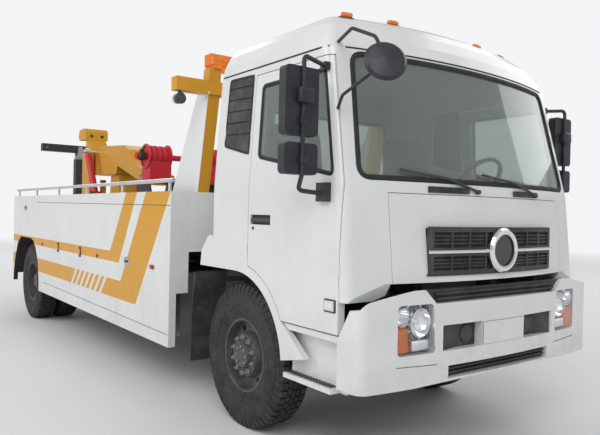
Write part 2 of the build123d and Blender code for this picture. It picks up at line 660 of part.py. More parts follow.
# Leaf springs with their hangers: columns are axle Y, half length, seat height
SPRINGS = [(FRONT_AXLE_Y, 700, 575), (REAR_AXLE_Y, 640, 600)]
with BuildPart() as leaf_springs:
    for axle_y, half, seat in SPRINGS:
        top = RAIL_BOTTOM - SEAT_GAP
        side_shape([(axle_y - half, top), (axle_y - half, top - 70), (axle_y - 90, seat), (axle_y + 90, seat),
                    (axle_y + half, top - 70), (axle_y + half, top), (axle_y + half - 70, top),
                    (axle_y + half - 80, top - 60), (axle_y + 90, seat + SPRING_DEPTH),
                    (axle_y - 90, seat + SPRING_DEPTH), (axle_y - half + 80, top - 60),
                    (axle_y - half + 70, top)],
                   (SPRING_X - SPRING_WIDTH / 2, SPRING_X + SPRING_WIDTH / 2))
    mirror(about=Plane.YZ)
keep(leaf_springs, "leaf_springs")

# Front axle beam with an eye for each kingpin
EYE_RADIUS = 52.0
EYE_HALF = 62.0
with BuildPart() as front_axle:
    front_shape([(-KINGPIN_X, 560), (-640, 560), (-560, 574.7), (560, 574.7), (640, 560), (KINGPIN_X, 560),
                 (KINGPIN_X, 470), (650, 455), (520, 440), (-520, 440), (-650, 455), (-KINGPIN_X, 470)],
                behind(-45, 45))
    for side in (-1, 1):
        rod_z(side * KINGPIN_X, FRONT_AXLE_Y, around(TYRE_RADIUS, EYE_HALF), EYE_RADIUS)
        rod_z(side * KINGPIN_X, FRONT_AXLE_Y, (400, 620), KINGPIN_RADIUS + RUN_GAP,
            mode=Mode.SUBTRACT)
keep(front_axle, "front_axle")

# Steering knuckles: fork round the eye, kingpin and wheel spindle
with BuildPart() as knuckle_left:
    for low, high in ((TYRE_RADIUS - EYE_HALF - 36, TYRE_RADIUS - EYE_HALF - RUN_GAP),
                      (TYRE_RADIUS + EYE_HALF + RUN_GAP, TYRE_RADIUS + EYE_HALF + 36)):
        rod_z(KINGPIN_X, FRONT_AXLE_Y, (low, high), 46)
        block((KINGPIN_X, KINGPIN_X + 95), behind(-46, 46), (low, high))
    block((KINGPIN_X + 62, KINGPIN_X + 95), behind(-46, 46),
          (TYRE_RADIUS - EYE_HALF - 36, TYRE_RADIUS + EYE_HALF + 36))
    rod_z(KINGPIN_X, FRONT_AXLE_Y, around(TYRE_RADIUS, EYE_HALF + 30), KINGPIN_RADIUS)
    rod_x((KINGPIN_X + 90, FRONT_TYRE_X + 90), FRONT_AXLE_Y, TYRE_RADIUS, SPINDLE_RADIUS)
    block((KINGPIN_X - 30, KINGPIN_X + 10), behind(30, 200),
          (TYRE_RADIUS - EYE_HALF - 36, TYRE_RADIUS - EYE_HALF - 10))
keep(knuckle_left, "knuckle_left")
with BuildPart() as knuckle_right:
    mirror(knuckle_left.part, about=Plane.YZ)
keep(knuckle_right, "knuckle_right")

# Rear axle with its final drive and the propeller shaft to the gearbox
SHAFT_RADIUS = 55.0
AXLE_TUBE_RADIUS = 75.0
AXLE_TUBE_END = REAR_INNER_X - 60.0
AXLE_END = DUAL_DISC_X + 190.0
with BuildPart() as rear_axle:
    rod((0, FRONT_AXLE_Y + 900.3, 800), (0, FRONT_AXLE_Y + 2590, 800), SHAFT_RADIUS)
    rod((0, FRONT_AXLE_Y + 2540, 800), (0, FRONT_AXLE_Y + 2660, 800), SHAFT_RADIUS + 30)
    rod((0, FRONT_AXLE_Y + 2600, 800), (0, REAR_AXLE_Y - 280, 545), SHAFT_RADIUS)
    turned([(-AXLE_END, 0), (-AXLE_END, SPINDLE_RADIUS), (-AXLE_TUBE_END, SPINDLE_RADIUS),
            (-AXLE_TUBE_END, AXLE_TUBE_RADIUS), (-260, AXLE_TUBE_RADIUS), (-150, 150), (-60, 200), (60, 200),
            (150, 150), (260, AXLE_TUBE_RADIUS), (AXLE_TUBE_END, AXLE_TUBE_RADIUS),
            (AXLE_TUBE_END, SPINDLE_RADIUS), (AXLE_END, SPINDLE_RADIUS), (AXLE_END, 0)],
           (0, REAR_AXLE_Y, TYRE_RADIUS), (1, 0, 0))
    rod((0, REAR_AXLE_Y - 290, 545), (0, REAR_AXLE_Y - 100, 545), 90)
    for side in (-1, 1):
        block(on_side(side, 385, 470), around(REAR_AXLE_Y, 62),
              (TYRE_RADIUS, 599.7))
keep(rear_axle, "rear_axle")

# Wheels: columns are position along the axle from the tyre's middle, and radius
FRONT_RIM = [(-RIM_EDGE, RIM_RADIUS + RIM_LIP), (-RIM_HALF, RIM_RADIUS), (RIM_HALF, RIM_RADIUS),
             (RIM_EDGE, RIM_RADIUS + RIM_LIP), (RIM_EDGE, RIM_RADIUS - 8), (38, RIM_RADIUS - 18), (38, 168),
             (92, 150), (92, 96), (124, 84), (124, 0), (94, 0), (94, SPINDLE_RADIUS + RUN_GAP),
             (16, SPINDLE_RADIUS + RUN_GAP), (16, RIM_RADIUS - 18), (-RIM_EDGE, RIM_RADIUS - 8)]


def tyre_profile(middle):
    """Half section of a tyre from bead to tread, as (along the axle, radius)."""
    half = TYRE_WIDTH / 2
    tread = TREAD_WIDTH / 2
    bead = RIM_RADIUS + SEAT_GAP
    return [(middle - RIM_HALF, bead), (middle + RIM_HALF, bead), (middle + half, RIM_RADIUS + 130),
            (middle + tread + 10, TYRE_RADIUS - 24), (middle + tread, TYRE_RADIUS),
            (middle - tread, TYRE_RADIUS), (middle - tread - 10, TYRE_RADIUS - 24),
            (middle - half, RIM_RADIUS + 130)]


with BuildPart() as front_wheel_left:
    turned(FRONT_RIM, (FRONT_TYRE_X, FRONT_AXLE_Y, TYRE_RADIUS), (1, 0, 0))
    for number in range(HAND_HOLES):
        turn = radians(360 / HAND_HOLES * number)
        y = FRONT_AXLE_Y + HAND_HOLE_RING * cos(turn)
        z = TYRE_RADIUS + HAND_HOLE_RING * sin(turn)
        rod_x((FRONT_TYRE_X, FRONT_TYRE_X + 60), y, z, HAND_HOLE_RADIUS, mode=Mode.SUBTRACT)
keep(front_wheel_left, "front_wheel_left")
with BuildPart() as front_wheel_right:
    mirror(front_wheel_left.part, about=Plane.YZ)
keep(front_wheel_right, "front_wheel_right")
with BuildPart() as front_tyre_left:
    turned(tyre_profile(0), (FRONT_TYRE_X, FRONT_AXLE_Y, TYRE_RADIUS), (1, 0, 0))
keep(front_tyre_left, "front_tyre_left")
with BuildPart() as front_tyre_right:
    mirror(front_tyre_left.part, about=Plane.YZ)
keep(front_tyre_right, "front_tyre_right")

# Twin rear wheels: one rim each side of the meeting discs, and two tyres
INNER_SHIFT = -DUAL_SPACING / 2
OUTER_SHIFT = DUAL_SPACING / 2
REAR_RIM = [(OUTER_SHIFT + RIM_EDGE, RIM_RADIUS + RIM_LIP), (OUTER_SHIFT + RIM_EDGE, RIM_RADIUS - 8),
            (12, RIM_RADIUS - 18), (12, 120), (60, 110), (204, 98), (212, 84), (212, 0), (200, 0),
            (200, SPINDLE_RADIUS + RUN_GAP), (-100, SPINDLE_RADIUS + RUN_GAP), (-100, DRUM_RADIUS - 40),
            (-12, DRUM_RADIUS - 40), (-12, RIM_RADIUS - 18), (INNER_SHIFT - RIM_EDGE, RIM_RADIUS - 8),
            (INNER_SHIFT - RIM_EDGE, RIM_RADIUS + RIM_LIP), (INNER_SHIFT - RIM_HALF, RIM_RADIUS),
            (OUTER_SHIFT + RIM_HALF, RIM_RADIUS)]
with BuildPart() as rear_wheels_left:
    turned(REAR_RIM, (DUAL_DISC_X, REAR_AXLE_Y, TYRE_RADIUS), (1, 0, 0))
    for number in range(HAND_HOLES):
        turn = radians(360 / HAND_HOLES * number)
        y = REAR_AXLE_Y + HAND_HOLE_RING * cos(turn)
        z = TYRE_RADIUS + HAND_HOLE_RING * sin(turn)
        rod_x((DUAL_DISC_X - 40, DUAL_DISC_X + 40), y, z, HAND_HOLE_RADIUS, mode=Mode.SUBTRACT)
keep(rear_wheels_left, "rear_wheels_left")
with BuildPart() as rear_wheels_right:
    mirror(rear_wheels_left.part, about=Plane.YZ)
keep(rear_wheels_right, "rear_wheels_right")
with BuildPart() as rear_tyres_left:
    for shift in (INNER_SHIFT, OUTER_SHIFT):
        turned(tyre_profile(shift), (DUAL_DISC_X, REAR_AXLE_Y, TYRE_RADIUS), (1, 0, 0))
keep(rear_tyres_left, "rear_tyres_left")
with BuildPart() as rear_tyres_right:
    mirror(rear_tyres_left.part, about=Plane.YZ)
keep(rear_tyres_right, "rear_tyres_right")

# Body sides: tall skirts with a locker depth above, cut for the rear wheels
side_section = [(BODY_HALF, BODY_BASE), (BODY_HALF, BODY_TOP), (BODY_HALF - LOCKER_DEPTH, BODY_TOP),
                (BODY_HALF - LOCKER_DEPTH, LOCKER_BASE), (BODY_HALF - SKIRT_WALL, LOCKER_BASE),
                (BODY_HALF - SKIRT_WALL, BODY_BASE)]
arch_outline = at([(4770, 400), (4775, 560), (4830, 800), (4960, 990), (5090, 1085), (5230, ARCH_TOP),
                   (5800, ARCH_TOP), (5980, 1010), (6110, 820), (6205, 600), (6225, 400)])
with BuildPart() as body_sides:
    front_shape(side_section, (BODY_FRONT_Y, BODY_BACK_Y))
    side_shape(arch_outline, (700, PAST_SIDE), mode=Mode.SUBTRACT)
    mirror(about=Plane.YZ)
keep(body_sides, "body_sides")

# Deck plate between the body sides, cut at the rear for the mast
DECK_HALF = BODY_HALF - LOCKER_DEPTH - SEAT_GAP
FRONT_WALL = 40.0
BEARER = 60.0
BEARERS_BACK = (1500, 2300, 3100, 3900, 4700, 5320, 5680)
BEARER_HALF = 40.0
with BuildPart() as deck:
    block((-DECK_HALF, DECK_HALF), (BODY_FRONT_Y + FRONT_WALL + SEAT_GAP, BODY_BACK_Y),
          (DECK_TOP - DECK_WALL, DECK_TOP))
    block((-WELL_HALF, WELL_HALF), (WELL_FRONT_Y, BODY_BACK_Y + 1), (RAIL_TOP, BODY_TOP), mode=Mode.SUBTRACT)
keep(deck, "deck")

# What carries the deck: two beams on the rails, cross bearers, the mast well's walls and the front wall
BEARER_TOP = DECK_TOP - DECK_WALL - SEAT_GAP
with BuildPart() as deck_bearers:
    block((-DECK_HALF, DECK_HALF), (BODY_FRONT_Y, BODY_FRONT_Y + FRONT_WALL), (PLATFORM_BASE, BODY_TOP))
    for back in BEARERS_BACK:
        block((-DECK_HALF, DECK_HALF), around(FRONT_AXLE_Y + back, BEARER_HALF), (PLATFORM_BASE, BEARER_TOP))
    for side in (-1, 1):
        x = on_side(side, WELL_HALF, WELL_HALF + BEARER)
        block(x, (BODY_FRONT_Y, BODY_BACK_Y), (RAIL_TOP + SEAT_GAP, PLATFORM_BASE - SEAT_GAP))
        block(x, (FRONT_AXLE_Y + BEARERS_BACK[-1] + BEARER_HALF + SEAT_GAP, BODY_BACK_Y),
              (PLATFORM_BASE, BEARER_TOP))
        block(on_side(side, WELL_HALF + BEARER + SEAT_GAP, DECK_HALF),
              (BODY_BACK_Y - 2 * BEARER_HALF, BODY_BACK_Y), (PLATFORM_BASE, BEARER_TOP))
keep(deck_bearers, "deck_bearers")

# Rear lamps on the ends of the body sides
with BuildPart() as rear_lamps:
    block((BODY_HALF - LOCKER_DEPTH + 20, BODY_HALF - 20), (BODY_BACK_Y + SEAT_GAP, BODY_BACK_Y + 45),
          (900, 1160))
    mirror(about=Plane.YZ)
keep(rear_lamps, "rear_lamps")

# Gantry behind the cab: raked posts, side fins and a cross beam
GANTRY_TOP = 2680.0
GANTRY_OUTER_X = 1000.0
BEAM_BASE = 2470.0
BEAM_TOP = 2575.0
with BuildPart() as gantry:
    side_shape(at([(790, BODY_TOP + SEAT_GAP), (870, BODY_TOP + SEAT_GAP), (720, GANTRY_TOP), (625, GANTRY_TOP),
                   (640, BEAM_BASE)]), (895, GANTRY_OUTER_X))
    mirror(about=Plane.YZ)
    for side in (-1, 1):
        side_shape(at([(836, DECK_TOP + SEAT_GAP), (1290, DECK_TOP + SEAT_GAP), (835, 2490), (690, 2490),
                       (836, 1700)]), on_side(side, 968, GANTRY_OUTER_X))
    block((-1285, 1285), behind(620, 715), (BEAM_BASE, BEAM_TOP))
keep(gantry, "gantry")

# Beacon bar on the gantry posts: a tray, two long lenses with rounded ends and the middle box
BEACON_BASE = GANTRY_TOP + SEAT_GAP
BEACON_HALF = 985.0
LENS_BASE = 2712.0
LENS_LENGTH = 450.0
with BuildPart() as beacon_bar:
    block((-BEACON_HALF + 20, BEACON_HALF - 20), behind(610, 760), (BEACON_BASE, LENS_BASE))
    for x in ((BEACON_HALF - LENS_LENGTH, BEACON_HALF), (-BEACON_HALF, -BEACON_HALF + LENS_LENGTH)):
        side_shape(at([(600, LENS_BASE), (770, LENS_BASE), (770, 2750), (735, 2800), (635, 2800),
                       (600, 2750)]), x)
    fillet(beacon_bar.faces().group_by(Axis.X)[0].edges().filter_by(Axis.Z), 30)
    fillet(beacon_bar.faces().group_by(Axis.X)[-1].edges().filter_by(Axis.Z), 30)
    block((-250, 250), behind(615, 755), (LENS_BASE, 2785))
keep(beacon_bar, "beacon_bar")

# Round work lamps hanging from the cross beam's ends
WORK_LAMP_X = 1240.0
WORK_LAMP_Z = 2410.0
with BuildPart() as work_lamps:
    for side in (-1, 1):
        x = side * WORK_LAMP_X
        rod_z(x, FRONT_AXLE_Y + 665, (WORK_LAMP_Z + 30, BEAM_BASE - SEAT_GAP), 11)
        turned([(0, 0), (0, 24), (20, 40), (62, 46), (66, 40), (58, 0)], (x, FRONT_AXLE_Y + 700, WORK_LAMP_Z),
               (0, -1, 0))
keep(work_lamps, "work_lamps")

# Tube rails along the body's top edges
RAIL_TUBE_X = BODY_HALF - 40.0
RAIL_TUBE_Z = 1780.0
RAIL_TUBE_RADIUS = 17.0
with BuildPart() as side_rails:
    rod((RAIL_TUBE_X, BODY_FRONT_Y + 40, RAIL_TUBE_Z), (RAIL_TUBE_X, BODY_BACK_Y - 60, RAIL_TUBE_Z),
        RAIL_TUBE_RADIUS)
    for back in (900, 1950, 3000, 4050, 5100, 6100):
        rod((RAIL_TUBE_X, FRONT_AXLE_Y + back, BODY_TOP + SEAT_GAP),
            (RAIL_TUBE_X, FRONT_AXLE_Y + back, RAIL_TUBE_Z - RAIL_TUBE_RADIUS - SEAT_GAP), 13)
    mirror(about=Plane.YZ)
keep(side_rails, "side_rails")

# Winch bed and the pair of winches
WINCH_Y = FRONT_AXLE_Y + 3160.0
WINCH_Z = 2165.0
WINCH_RADIUS = 132.0
WINCH_X = (188.0, 458.0)
WINCH_BED_TOP = 1690.0
WINCH_SEAT = 1870.0
with BuildPart() as winch_bed:
    block((-500, 500), around(WINCH_Y, 230), (DECK_TOP + SEAT_GAP, WINCH_BED_TOP))
    for x in (-480, -130, 100, 450):
        side_shape([(WINCH_Y - 200, WINCH_BED_TOP), (WINCH_Y + 200, WINCH_BED_TOP), (WINCH_Y + 130, 1850),
                    (WINCH_Y - 130, 1850)], (x, x + 30))
    block((-480, -100), around(WINCH_Y, 130), (1850, WINCH_SEAT))
    block((100, 480), around(WINCH_Y, 130), (1850, WINCH_SEAT))
with BuildPart() as winches:
    for side in (-1, 1):
        inner, outer = (side * x for x in WINCH_X)
        rod_x((inner, outer), WINCH_Y, WINCH_Z, WINCH_RADIUS - 12)
        for number in range(4):
            x = inner + (outer - inner) * number / 4
            rod_x((x, x + side * 36), WINCH_Y, WINCH_Z, WINCH_RADIUS)
        block(sorted((inner, outer)), around(WINCH_Y, 120), (WINCH_SEAT + SEAT_GAP, WINCH_Z - 60))
        rod_x((side * WINCH_X[1], side * 585), WINCH_Y, WINCH_Z, 40)
    rod_x((-WINCH_X[0] - 1, WINCH_X[0] + 1), WINCH_Y, WINCH_Z, 34)
keep(winches, "winches")

# Boom base: pivot cheeks, ram feet and a rest on the deck
PIVOT_PIN_RADIUS = 35.0
RAM_PIN_RADIUS = 20.0
BED_TOP = 1680.0
with BuildPart() as boom_base:
    block((-420, 420), (BOOM_PIVOT_Y - 260, RAM_FOOT_Y + 160), (DECK_TOP + SEAT_GAP, BED_TOP))
    for side in (-1, 1):
        x = on_side(side, BOOM_HALF + RUN_GAP, BOOM_HALF + 30)
        side_shape([(BOOM_PIVOT_Y - 160, BED_TOP), (BOOM_PIVOT_Y + 220, BED_TOP), (BOOM_PIVOT_Y + 60, 1990),
                    (BOOM_PIVOT_Y - 60, 1990)], x)
        for offset in (-72, 52):
            foot_x = side * RAM_X
            side_shape([(RAM_FOOT_Y - 70, BED_TOP), (RAM_FOOT_Y + 70, BED_TOP),
                        (RAM_FOOT_Y + 40, RAM_FOOT_Z + 40),
                        (RAM_FOOT_Y - 40, RAM_FOOT_Z + 40)], (foot_x + offset, foot_x + offset + 20))
        rod_x((side * RAM_X - 60, side * RAM_X + 60), RAM_FOOT_Y, RAM_FOOT_Z, RAM_PIN_RADIUS)
    rod_x((-BOOM_HALF - 30, BOOM_HALF + 30), BOOM_PIVOT_Y, BOOM_PIVOT_Z, PIVOT_PIN_RADIUS)
    add(winch_bed.part)
keep(boom_base, "deck_mounts")

# Yellow column on the deck that the lowered boom rests on
with BuildPart() as boom_rest:
    side_shape(at([(4870, BED_TOP + SEAT_GAP), (5270, BED_TOP + SEAT_GAP), (5230, 2030),
                   (4910, 2030 - RUN_GAP)]), (-130, 130))
    block((-200, 200), behind(4800, 5400), (2025, 2200), mode=Mode.SUBTRACT)
keep(boom_rest, "boom_rest")

# Boom: a cranked box girder, hollow where the extension slides
with BuildPart() as boom:
    side_shape(at([(3740, 1850), (3740, 1985), (3900, 2045), (4200, 2140), (4330, 2225), (4450, 2360),
                   (4590, 2425), (5400, 2470), (5970, 2470), (5970, 2055), (4900, 2030), (4840, 2150),
                   (3950, 1890)]),
               (-BOOM_HALF, BOOM_HALF))
    block((-SLIDE_HALF - RUN_GAP, SLIDE_HALF + RUN_GAP), behind(4930, 6000),
          (SLIDE_BOTTOM - RUN_GAP, SLIDE_TOP + RUN_GAP), mode=Mode.SUBTRACT)
    rod_x((-300, 300), BOOM_PIVOT_Y, BOOM_PIVOT_Z, PIVOT_PIN_RADIUS + RUN_GAP,
        mode=Mode.SUBTRACT)
keep(boom, "boom")

# Boom extension with the sheave head
with BuildPart() as boom_extension:
    block((-SLIDE_HALF, SLIDE_HALF), behind(4950, 6030), (SLIDE_BOTTOM, SLIDE_TOP))
    side_shape(at([(6000, SLIDE_BOTTOM), (6120, SLIDE_BOTTOM), (6380, 2470), (6380, HEAD_BASE),
                   (6280, HEAD_BASE), (6000, SLIDE_TOP)]), (-SLIDE_HALF, SLIDE_HALF))
    side_shape(at([(6280, HEAD_BASE), (6600, HEAD_BASE), (6640, 2700), (6620, 2800), (6560, HEAD_TOP),
                   (6330, HEAD_TOP), (6280, 2780)]), (-HEAD_HALF, HEAD_HALF))
    for x in (-105, 55):
        block((x, x + 50), behind(6400, 6700), (2600, 2790), mode=Mode.SUBTRACT)
    for x in (-105, 55):
        rod_x((x + 4, x + 46), FRONT_AXLE_Y + 6520, 2735, 70)
    rod_x((-120, 120), FRONT_AXLE_Y + 6520, 2735, 18)
keep(boom_extension, "boom_extension")

# Boom rams: barrels pinned to the base, rods reaching the boom's sides
ram_angle = atan2(RAM_HEAD_Z - RAM_FOOT_Z, RAM_HEAD_Y - RAM_FOOT_Y)
ram_length = hypot(RAM_HEAD_Z - RAM_FOOT_Z, RAM_HEAD_Y - RAM_FOOT_Y)


def on_ram(x, distance):
    """A point on a ram's axis, at a distance from its foot."""
    return (x, RAM_FOOT_Y + distance * cos(ram_angle), RAM_FOOT_Z + distance * sin(ram_angle))


BARREL_END = ram_length - 55.0
with BuildPart() as boom_ram_barrels:
    for side in (-1, 1):
        x = side * RAM_X
        rod(on_ram(x, 20), on_ram(x, BARREL_END), RAM_RADIUS)
        rod_x((x - 50, x + 50), RAM_FOOT_Y, RAM_FOOT_Z, 44)
        rod_x((x - 60, x + 60), RAM_FOOT_Y, RAM_FOOT_Z, RAM_PIN_RADIUS + RUN_GAP, mode=Mode.SUBTRACT)
        rod(on_ram(x, 60), on_ram(x, BARREL_END + 1), RAM_ROD_RADIUS + RUN_GAP, mode=Mode.SUBTRACT)
keep(boom_ram_barrels, "boom_ram_barrels")
with BuildPart() as boom_ram_rods:
    for side in (-1, 1):
        x = side * RAM_X
        rod(on_ram(x, 75), on_ram(x, ram_length - 30), RAM_ROD_RADIUS)
        eye = on_side(side, RAM_X - 38, RAM_X + 38)
        rod_x(eye, RAM_HEAD_Y, RAM_HEAD_Z, 46)
        rod_x((side * (RAM_X + 45), side * (BOOM_HALF + RUN_GAP)), RAM_HEAD_Y, RAM_HEAD_Z, RAM_PIN_RADIUS)
keep(boom_ram_rods, "boom_ram_rods")

# Underlift mast: two uprights, cross members and the lift cylinder's barrel
LIFT_Y = (MAST_FRONT_Y + MAST_BACK_Y) / 2
CARRIAGE_TOP = 1100.0
BARREL_MOUTH = 1262.0
with BuildPart() as underlift_mast:
    for side in (-1, 1):
        x = on_side(side, MAST_INNER_X, MAST_OUTER_X)
        side_shape([(MAST_FRONT_Y, MAST_BASE), (MAST_BACK_Y, MAST_BASE), (MAST_BACK_Y, MAST_TOP - 150),
                    (MAST_BACK_Y - 100, MAST_TOP), (MAST_FRONT_Y + 60, MAST_TOP),
                    (MAST_FRONT_Y, MAST_TOP - 100)], x)
        x = on_side(side, MAST_OUTER_X, RAIL_OUTER_X - RAIL_WALL - SEAT_GAP)
        block(x, (MAST_FRONT_Y + 20, MAST_BACK_Y - 20), (RAIL_BOTTOM + 30, RAIL_TOP - 30))
    block((-MAST_INNER_X, MAST_INNER_X), around(LIFT_Y, 80), (BARREL_MOUTH, 1400))
    rod_z(0, LIFT_Y, (BARREL_MOUTH, 1985), 46)
    rod_z(0, LIFT_Y, (BARREL_MOUTH - 1, 1965), 28 + RUN_GAP, mode=Mode.SUBTRACT)
keep(underlift_mast, "underlift_mast")

# Underlift carriage: slides on the mast and carries the fold hinge far behind it
CARRIAGE_HALF = MAST_INNER_X - RUN_GAP
with BuildPart() as underlift_carriage:
    block((-CARRIAGE_HALF, CARRIAGE_HALF), (MAST_FRONT_Y + 20, MAST_BACK_Y), (600, CARRIAGE_TOP))
    block((-120, 120), (MAST_BACK_Y, FOLD_Y - 110), (620, 880))
    side_shape([(MAST_BACK_Y, 880), (MAST_BACK_Y + 300, 880), (MAST_BACK_Y, 1080)], (-60, 60))
    for x in ((-ARM_HALF - 40, -ARM_HALF - RUN_GAP), (ARM_HALF + RUN_GAP, ARM_HALF + 40)):
        side_shape([(FOLD_Y - 130, 640), (FOLD_Y + 60, 660), (FOLD_Y + 75, FOLD_Z), (FOLD_Y + 60, 840),
                    (FOLD_Y - 130, 860)], x)
    rod_x((-ARM_HALF - 55, ARM_HALF + 55), FOLD_Y, FOLD_Z, FOLD_PIN_RADIUS)
    rod_z(0, LIFT_Y, (CARRIAGE_TOP - 10, 1810), 28)
keep(underlift_carriage, "underlift_carriage")

# Underlift arm: a square tube that folds up behind the body
with BuildPart() as underlift_arm:
    block((-ARM_HALF, ARM_HALF), around(FOLD_Y, ARM_HALF), (FOLD_Z, ARM_TOP))
    rod_x((-ARM_HALF, ARM_HALF), FOLD_Y, FOLD_Z, ARM_HALF)
    rod_x((-ARM_HALF - 1, ARM_HALF + 1), FOLD_Y, FOLD_Z, FOLD_PIN_RADIUS + RUN_GAP, mode=Mode.SUBTRACT)
    block((-ARM_HALF + ARM_WALL, ARM_HALF - ARM_WALL), around(FOLD_Y, ARM_HALF - ARM_WALL),
          (FOLD_Z + 120, ARM_TOP + 1), mode=Mode.SUBTRACT)
keep(underlift_arm, "underlift_arm")

# Underlift extension: the inner tube with its fork for the crossbar
FORK_GAP = BAR_SIZE / 2 + 5.0
with BuildPart() as underlift_extension:
    block((-INNER_HALF, INNER_HALF), around(FOLD_Y, INNER_HALF), (FOLD_Z + 140, 2435))
    block((-45, 45), (FOLD_Y - FORK_GAP - 22, FOLD_Y + FORK_GAP + 22), (2400, 2435))
    for y in ((FOLD_Y - FORK_GAP - 22, FOLD_Y - FORK_GAP), (FOLD_Y + FORK_GAP, FOLD_Y + FORK_GAP + 22)):
        front_shape([(-45, 2400), (45, 2400), (45, BAR_Z), (25, BAR_Z + 50), (-25, BAR_Z + 50),
                     (-45, BAR_Z)], y)
    rod((0, FOLD_Y - FORK_GAP - 30, BAR_Z), (0, FOLD_Y + FORK_GAP + 30, BAR_Z), SWIVEL_RADIUS)
keep(underlift_extension, "underlift_extension")

# Crossbar with a socket at each end for the lifting forks
with BuildPart() as crossbar:
    block((-BAR_HALF_LENGTH, BAR_HALF_LENGTH), (FOLD_Y - BAR_SIZE / 2, FOLD_Y + BAR_SIZE / 2),
          (BAR_BOTTOM, BAR_BOTTOM + BAR_SIZE))
    rod((0, FOLD_Y - 100, BAR_Z), (0, FOLD_Y + 100, BAR_Z), SWIVEL_RADIUS + RUN_GAP, mode=Mode.SUBTRACT)
    for x in (-SOCKET_X, SOCKET_X):
        rod((x, FOLD_Y - 100, BAR_Z), (x, FOLD_Y + 100, BAR_Z), SOCKET_RADIUS, mode=Mode.SUBTRACT)
keep(crossbar, "crossbar")

# Fuel tank and battery box behind the skirts
TANK_OUTER_X = BODY_HALF - LOCKER_DEPTH - 20.0
TANK_Z = (480.0, 1010.0)
with BuildPart() as tanks:
    block((RAIL_OUTER_X + SEAT_GAP, TANK_OUTER_X), behind(960, 2000), TANK_Z)
    block((-TANK_OUTER_X, -RAIL_OUTER_X - SEAT_GAP), behind(960, 1900), TANK_Z)
keep(tanks, "tanks")

# Mirrors on the doors: a bent tube with a tall mirror and a small one behind it
MIRROR_X = 1320.0
MIRROR_Y = FRONT_AXLE_Y - 1050.0
MIRROR_HALF = 115.0
MIRROR_CORNER = 28.0
with BuildPart() as mirror_left:
    bent_tube([(1112, FRONT_AXLE_Y - 990, 2385), (MIRROR_X, MIRROR_Y, 2405), (MIRROR_X, MIRROR_Y, 1750),
               (MIRROR_X - 20, MIRROR_Y + 60, 1665), (1160, FRONT_AXLE_Y - 1040, 1650)], 13, 30)
    block((1150 + SEAT_GAP, 1180), behind(-1100, -1000), (1605, 1712))
    block((1100, 1136), behind(-1010, -960), (2365, 2410))
    add(cab_seat, mode=Mode.SUBTRACT)
    for low, high in ((1965, 2345), (1750, 1925)):
        front_shape([(MIRROR_X - MIRROR_HALF, low), (MIRROR_X + MIRROR_HALF, low),
                     (MIRROR_X + MIRROR_HALF, high), (MIRROR_X - MIRROR_HALF, high)],
                    (MIRROR_Y + 8, MIRROR_Y + 70), radius=MIRROR_CORNER)
        block(around(MIRROR_X, 22), (MIRROR_Y - 16, MIRROR_Y + 10), (low + 60, low + 100))
keep(mirror_left, "mirror_left")
with BuildPart() as mirror_right:
    mirror(mirror_left.part, about=Plane.YZ)
keep(mirror_right, "mirror_right")

# Round front mirror on the right front corner, on a loop from the roof and a strut from the pillar
with BuildPart() as front_mirror:
    bent_tube([(-1030, FRONT_AXLE_Y - 985, 2540), (-1110, FRONT_AXLE_Y - 1200, 2560),
               (-1075, FRONT_AXLE_Y - 1350, 2490), (-1035, FRONT_AXLE_Y - 1392, 2380)], 10, 40)
    bent_tube([(-1085, FRONT_AXLE_Y - 1060, 2125), (-1150, FRONT_AXLE_Y - 1180, 2190),
               (-1040, FRONT_AXLE_Y - 1385, 2345)], 9, 30)
    add(cab_seat, mode=Mode.SUBTRACT)
    turned([(0, 0), (0, 108), (16, 117), (34, 100), (46, 0)], (-1030, FRONT_AXLE_Y - 1380, 2350),
           (-0.5, -0.8, 0.3))
keep(front_mirror, "front_mirror")


def screen_y(x, height):
    """The Y of the cab's outer front face at an X and a height."""
    share = (height - WAIST) / (GUTTER - WAIST)
    waist_y, gutter_y = CAB_SECTIONS[1][2], CAB_SECTIONS[2][2]
    return FRONT_AXLE_Y + waist_y + share * (gutter_y - waist_y) + FRONT_BOW * (x / CAB_HALF) ** 2


# Wipers parked on the windscreen: a pivot, an arm and a blade each
WIPER_PIVOTS = (-180, 480)
WIPER_ARM = 250.0
WIPER_REACH = 600.0
with BuildPart() as wipers:
    for x in WIPER_PIVOTS:
        elbow = (x - WIPER_ARM, screen_y(x - WIPER_ARM, 1760) - 22, 1760)
        tip = (x - WIPER_REACH, screen_y(x - WIPER_REACH, 1800) - 22, 1800)
        rod((x, screen_y(x, 1690) + 20, 1690), (x, screen_y(x, 1690) - 24, 1690), 14)
        rod((x, screen_y(x, 1690) - 16, 1690), elbow, 9)
        rod(elbow, tip, 8)
    add(cab_seat, mode=Mode.SUBTRACT)
keep(wipers, "wipers")
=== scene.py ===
import json
import math

import bmesh
import bpy
from mathutils import Matrix, Vector
from mathutils.bvhtree import BVHTree


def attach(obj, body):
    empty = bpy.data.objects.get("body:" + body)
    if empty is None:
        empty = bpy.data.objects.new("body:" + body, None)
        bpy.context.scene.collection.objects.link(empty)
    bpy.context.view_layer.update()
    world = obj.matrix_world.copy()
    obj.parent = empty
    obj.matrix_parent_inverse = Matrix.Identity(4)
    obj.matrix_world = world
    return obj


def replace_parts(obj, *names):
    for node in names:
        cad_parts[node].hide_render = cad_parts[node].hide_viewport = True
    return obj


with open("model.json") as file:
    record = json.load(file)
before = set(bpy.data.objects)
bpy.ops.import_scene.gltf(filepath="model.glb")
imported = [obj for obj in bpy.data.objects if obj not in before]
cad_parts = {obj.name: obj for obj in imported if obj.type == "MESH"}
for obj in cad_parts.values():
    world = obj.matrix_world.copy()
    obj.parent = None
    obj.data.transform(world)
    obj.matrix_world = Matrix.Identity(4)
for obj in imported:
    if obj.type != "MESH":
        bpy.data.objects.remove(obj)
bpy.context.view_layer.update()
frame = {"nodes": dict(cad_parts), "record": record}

NODES = frame["nodes"]
FRONT_AXLE = -2.925
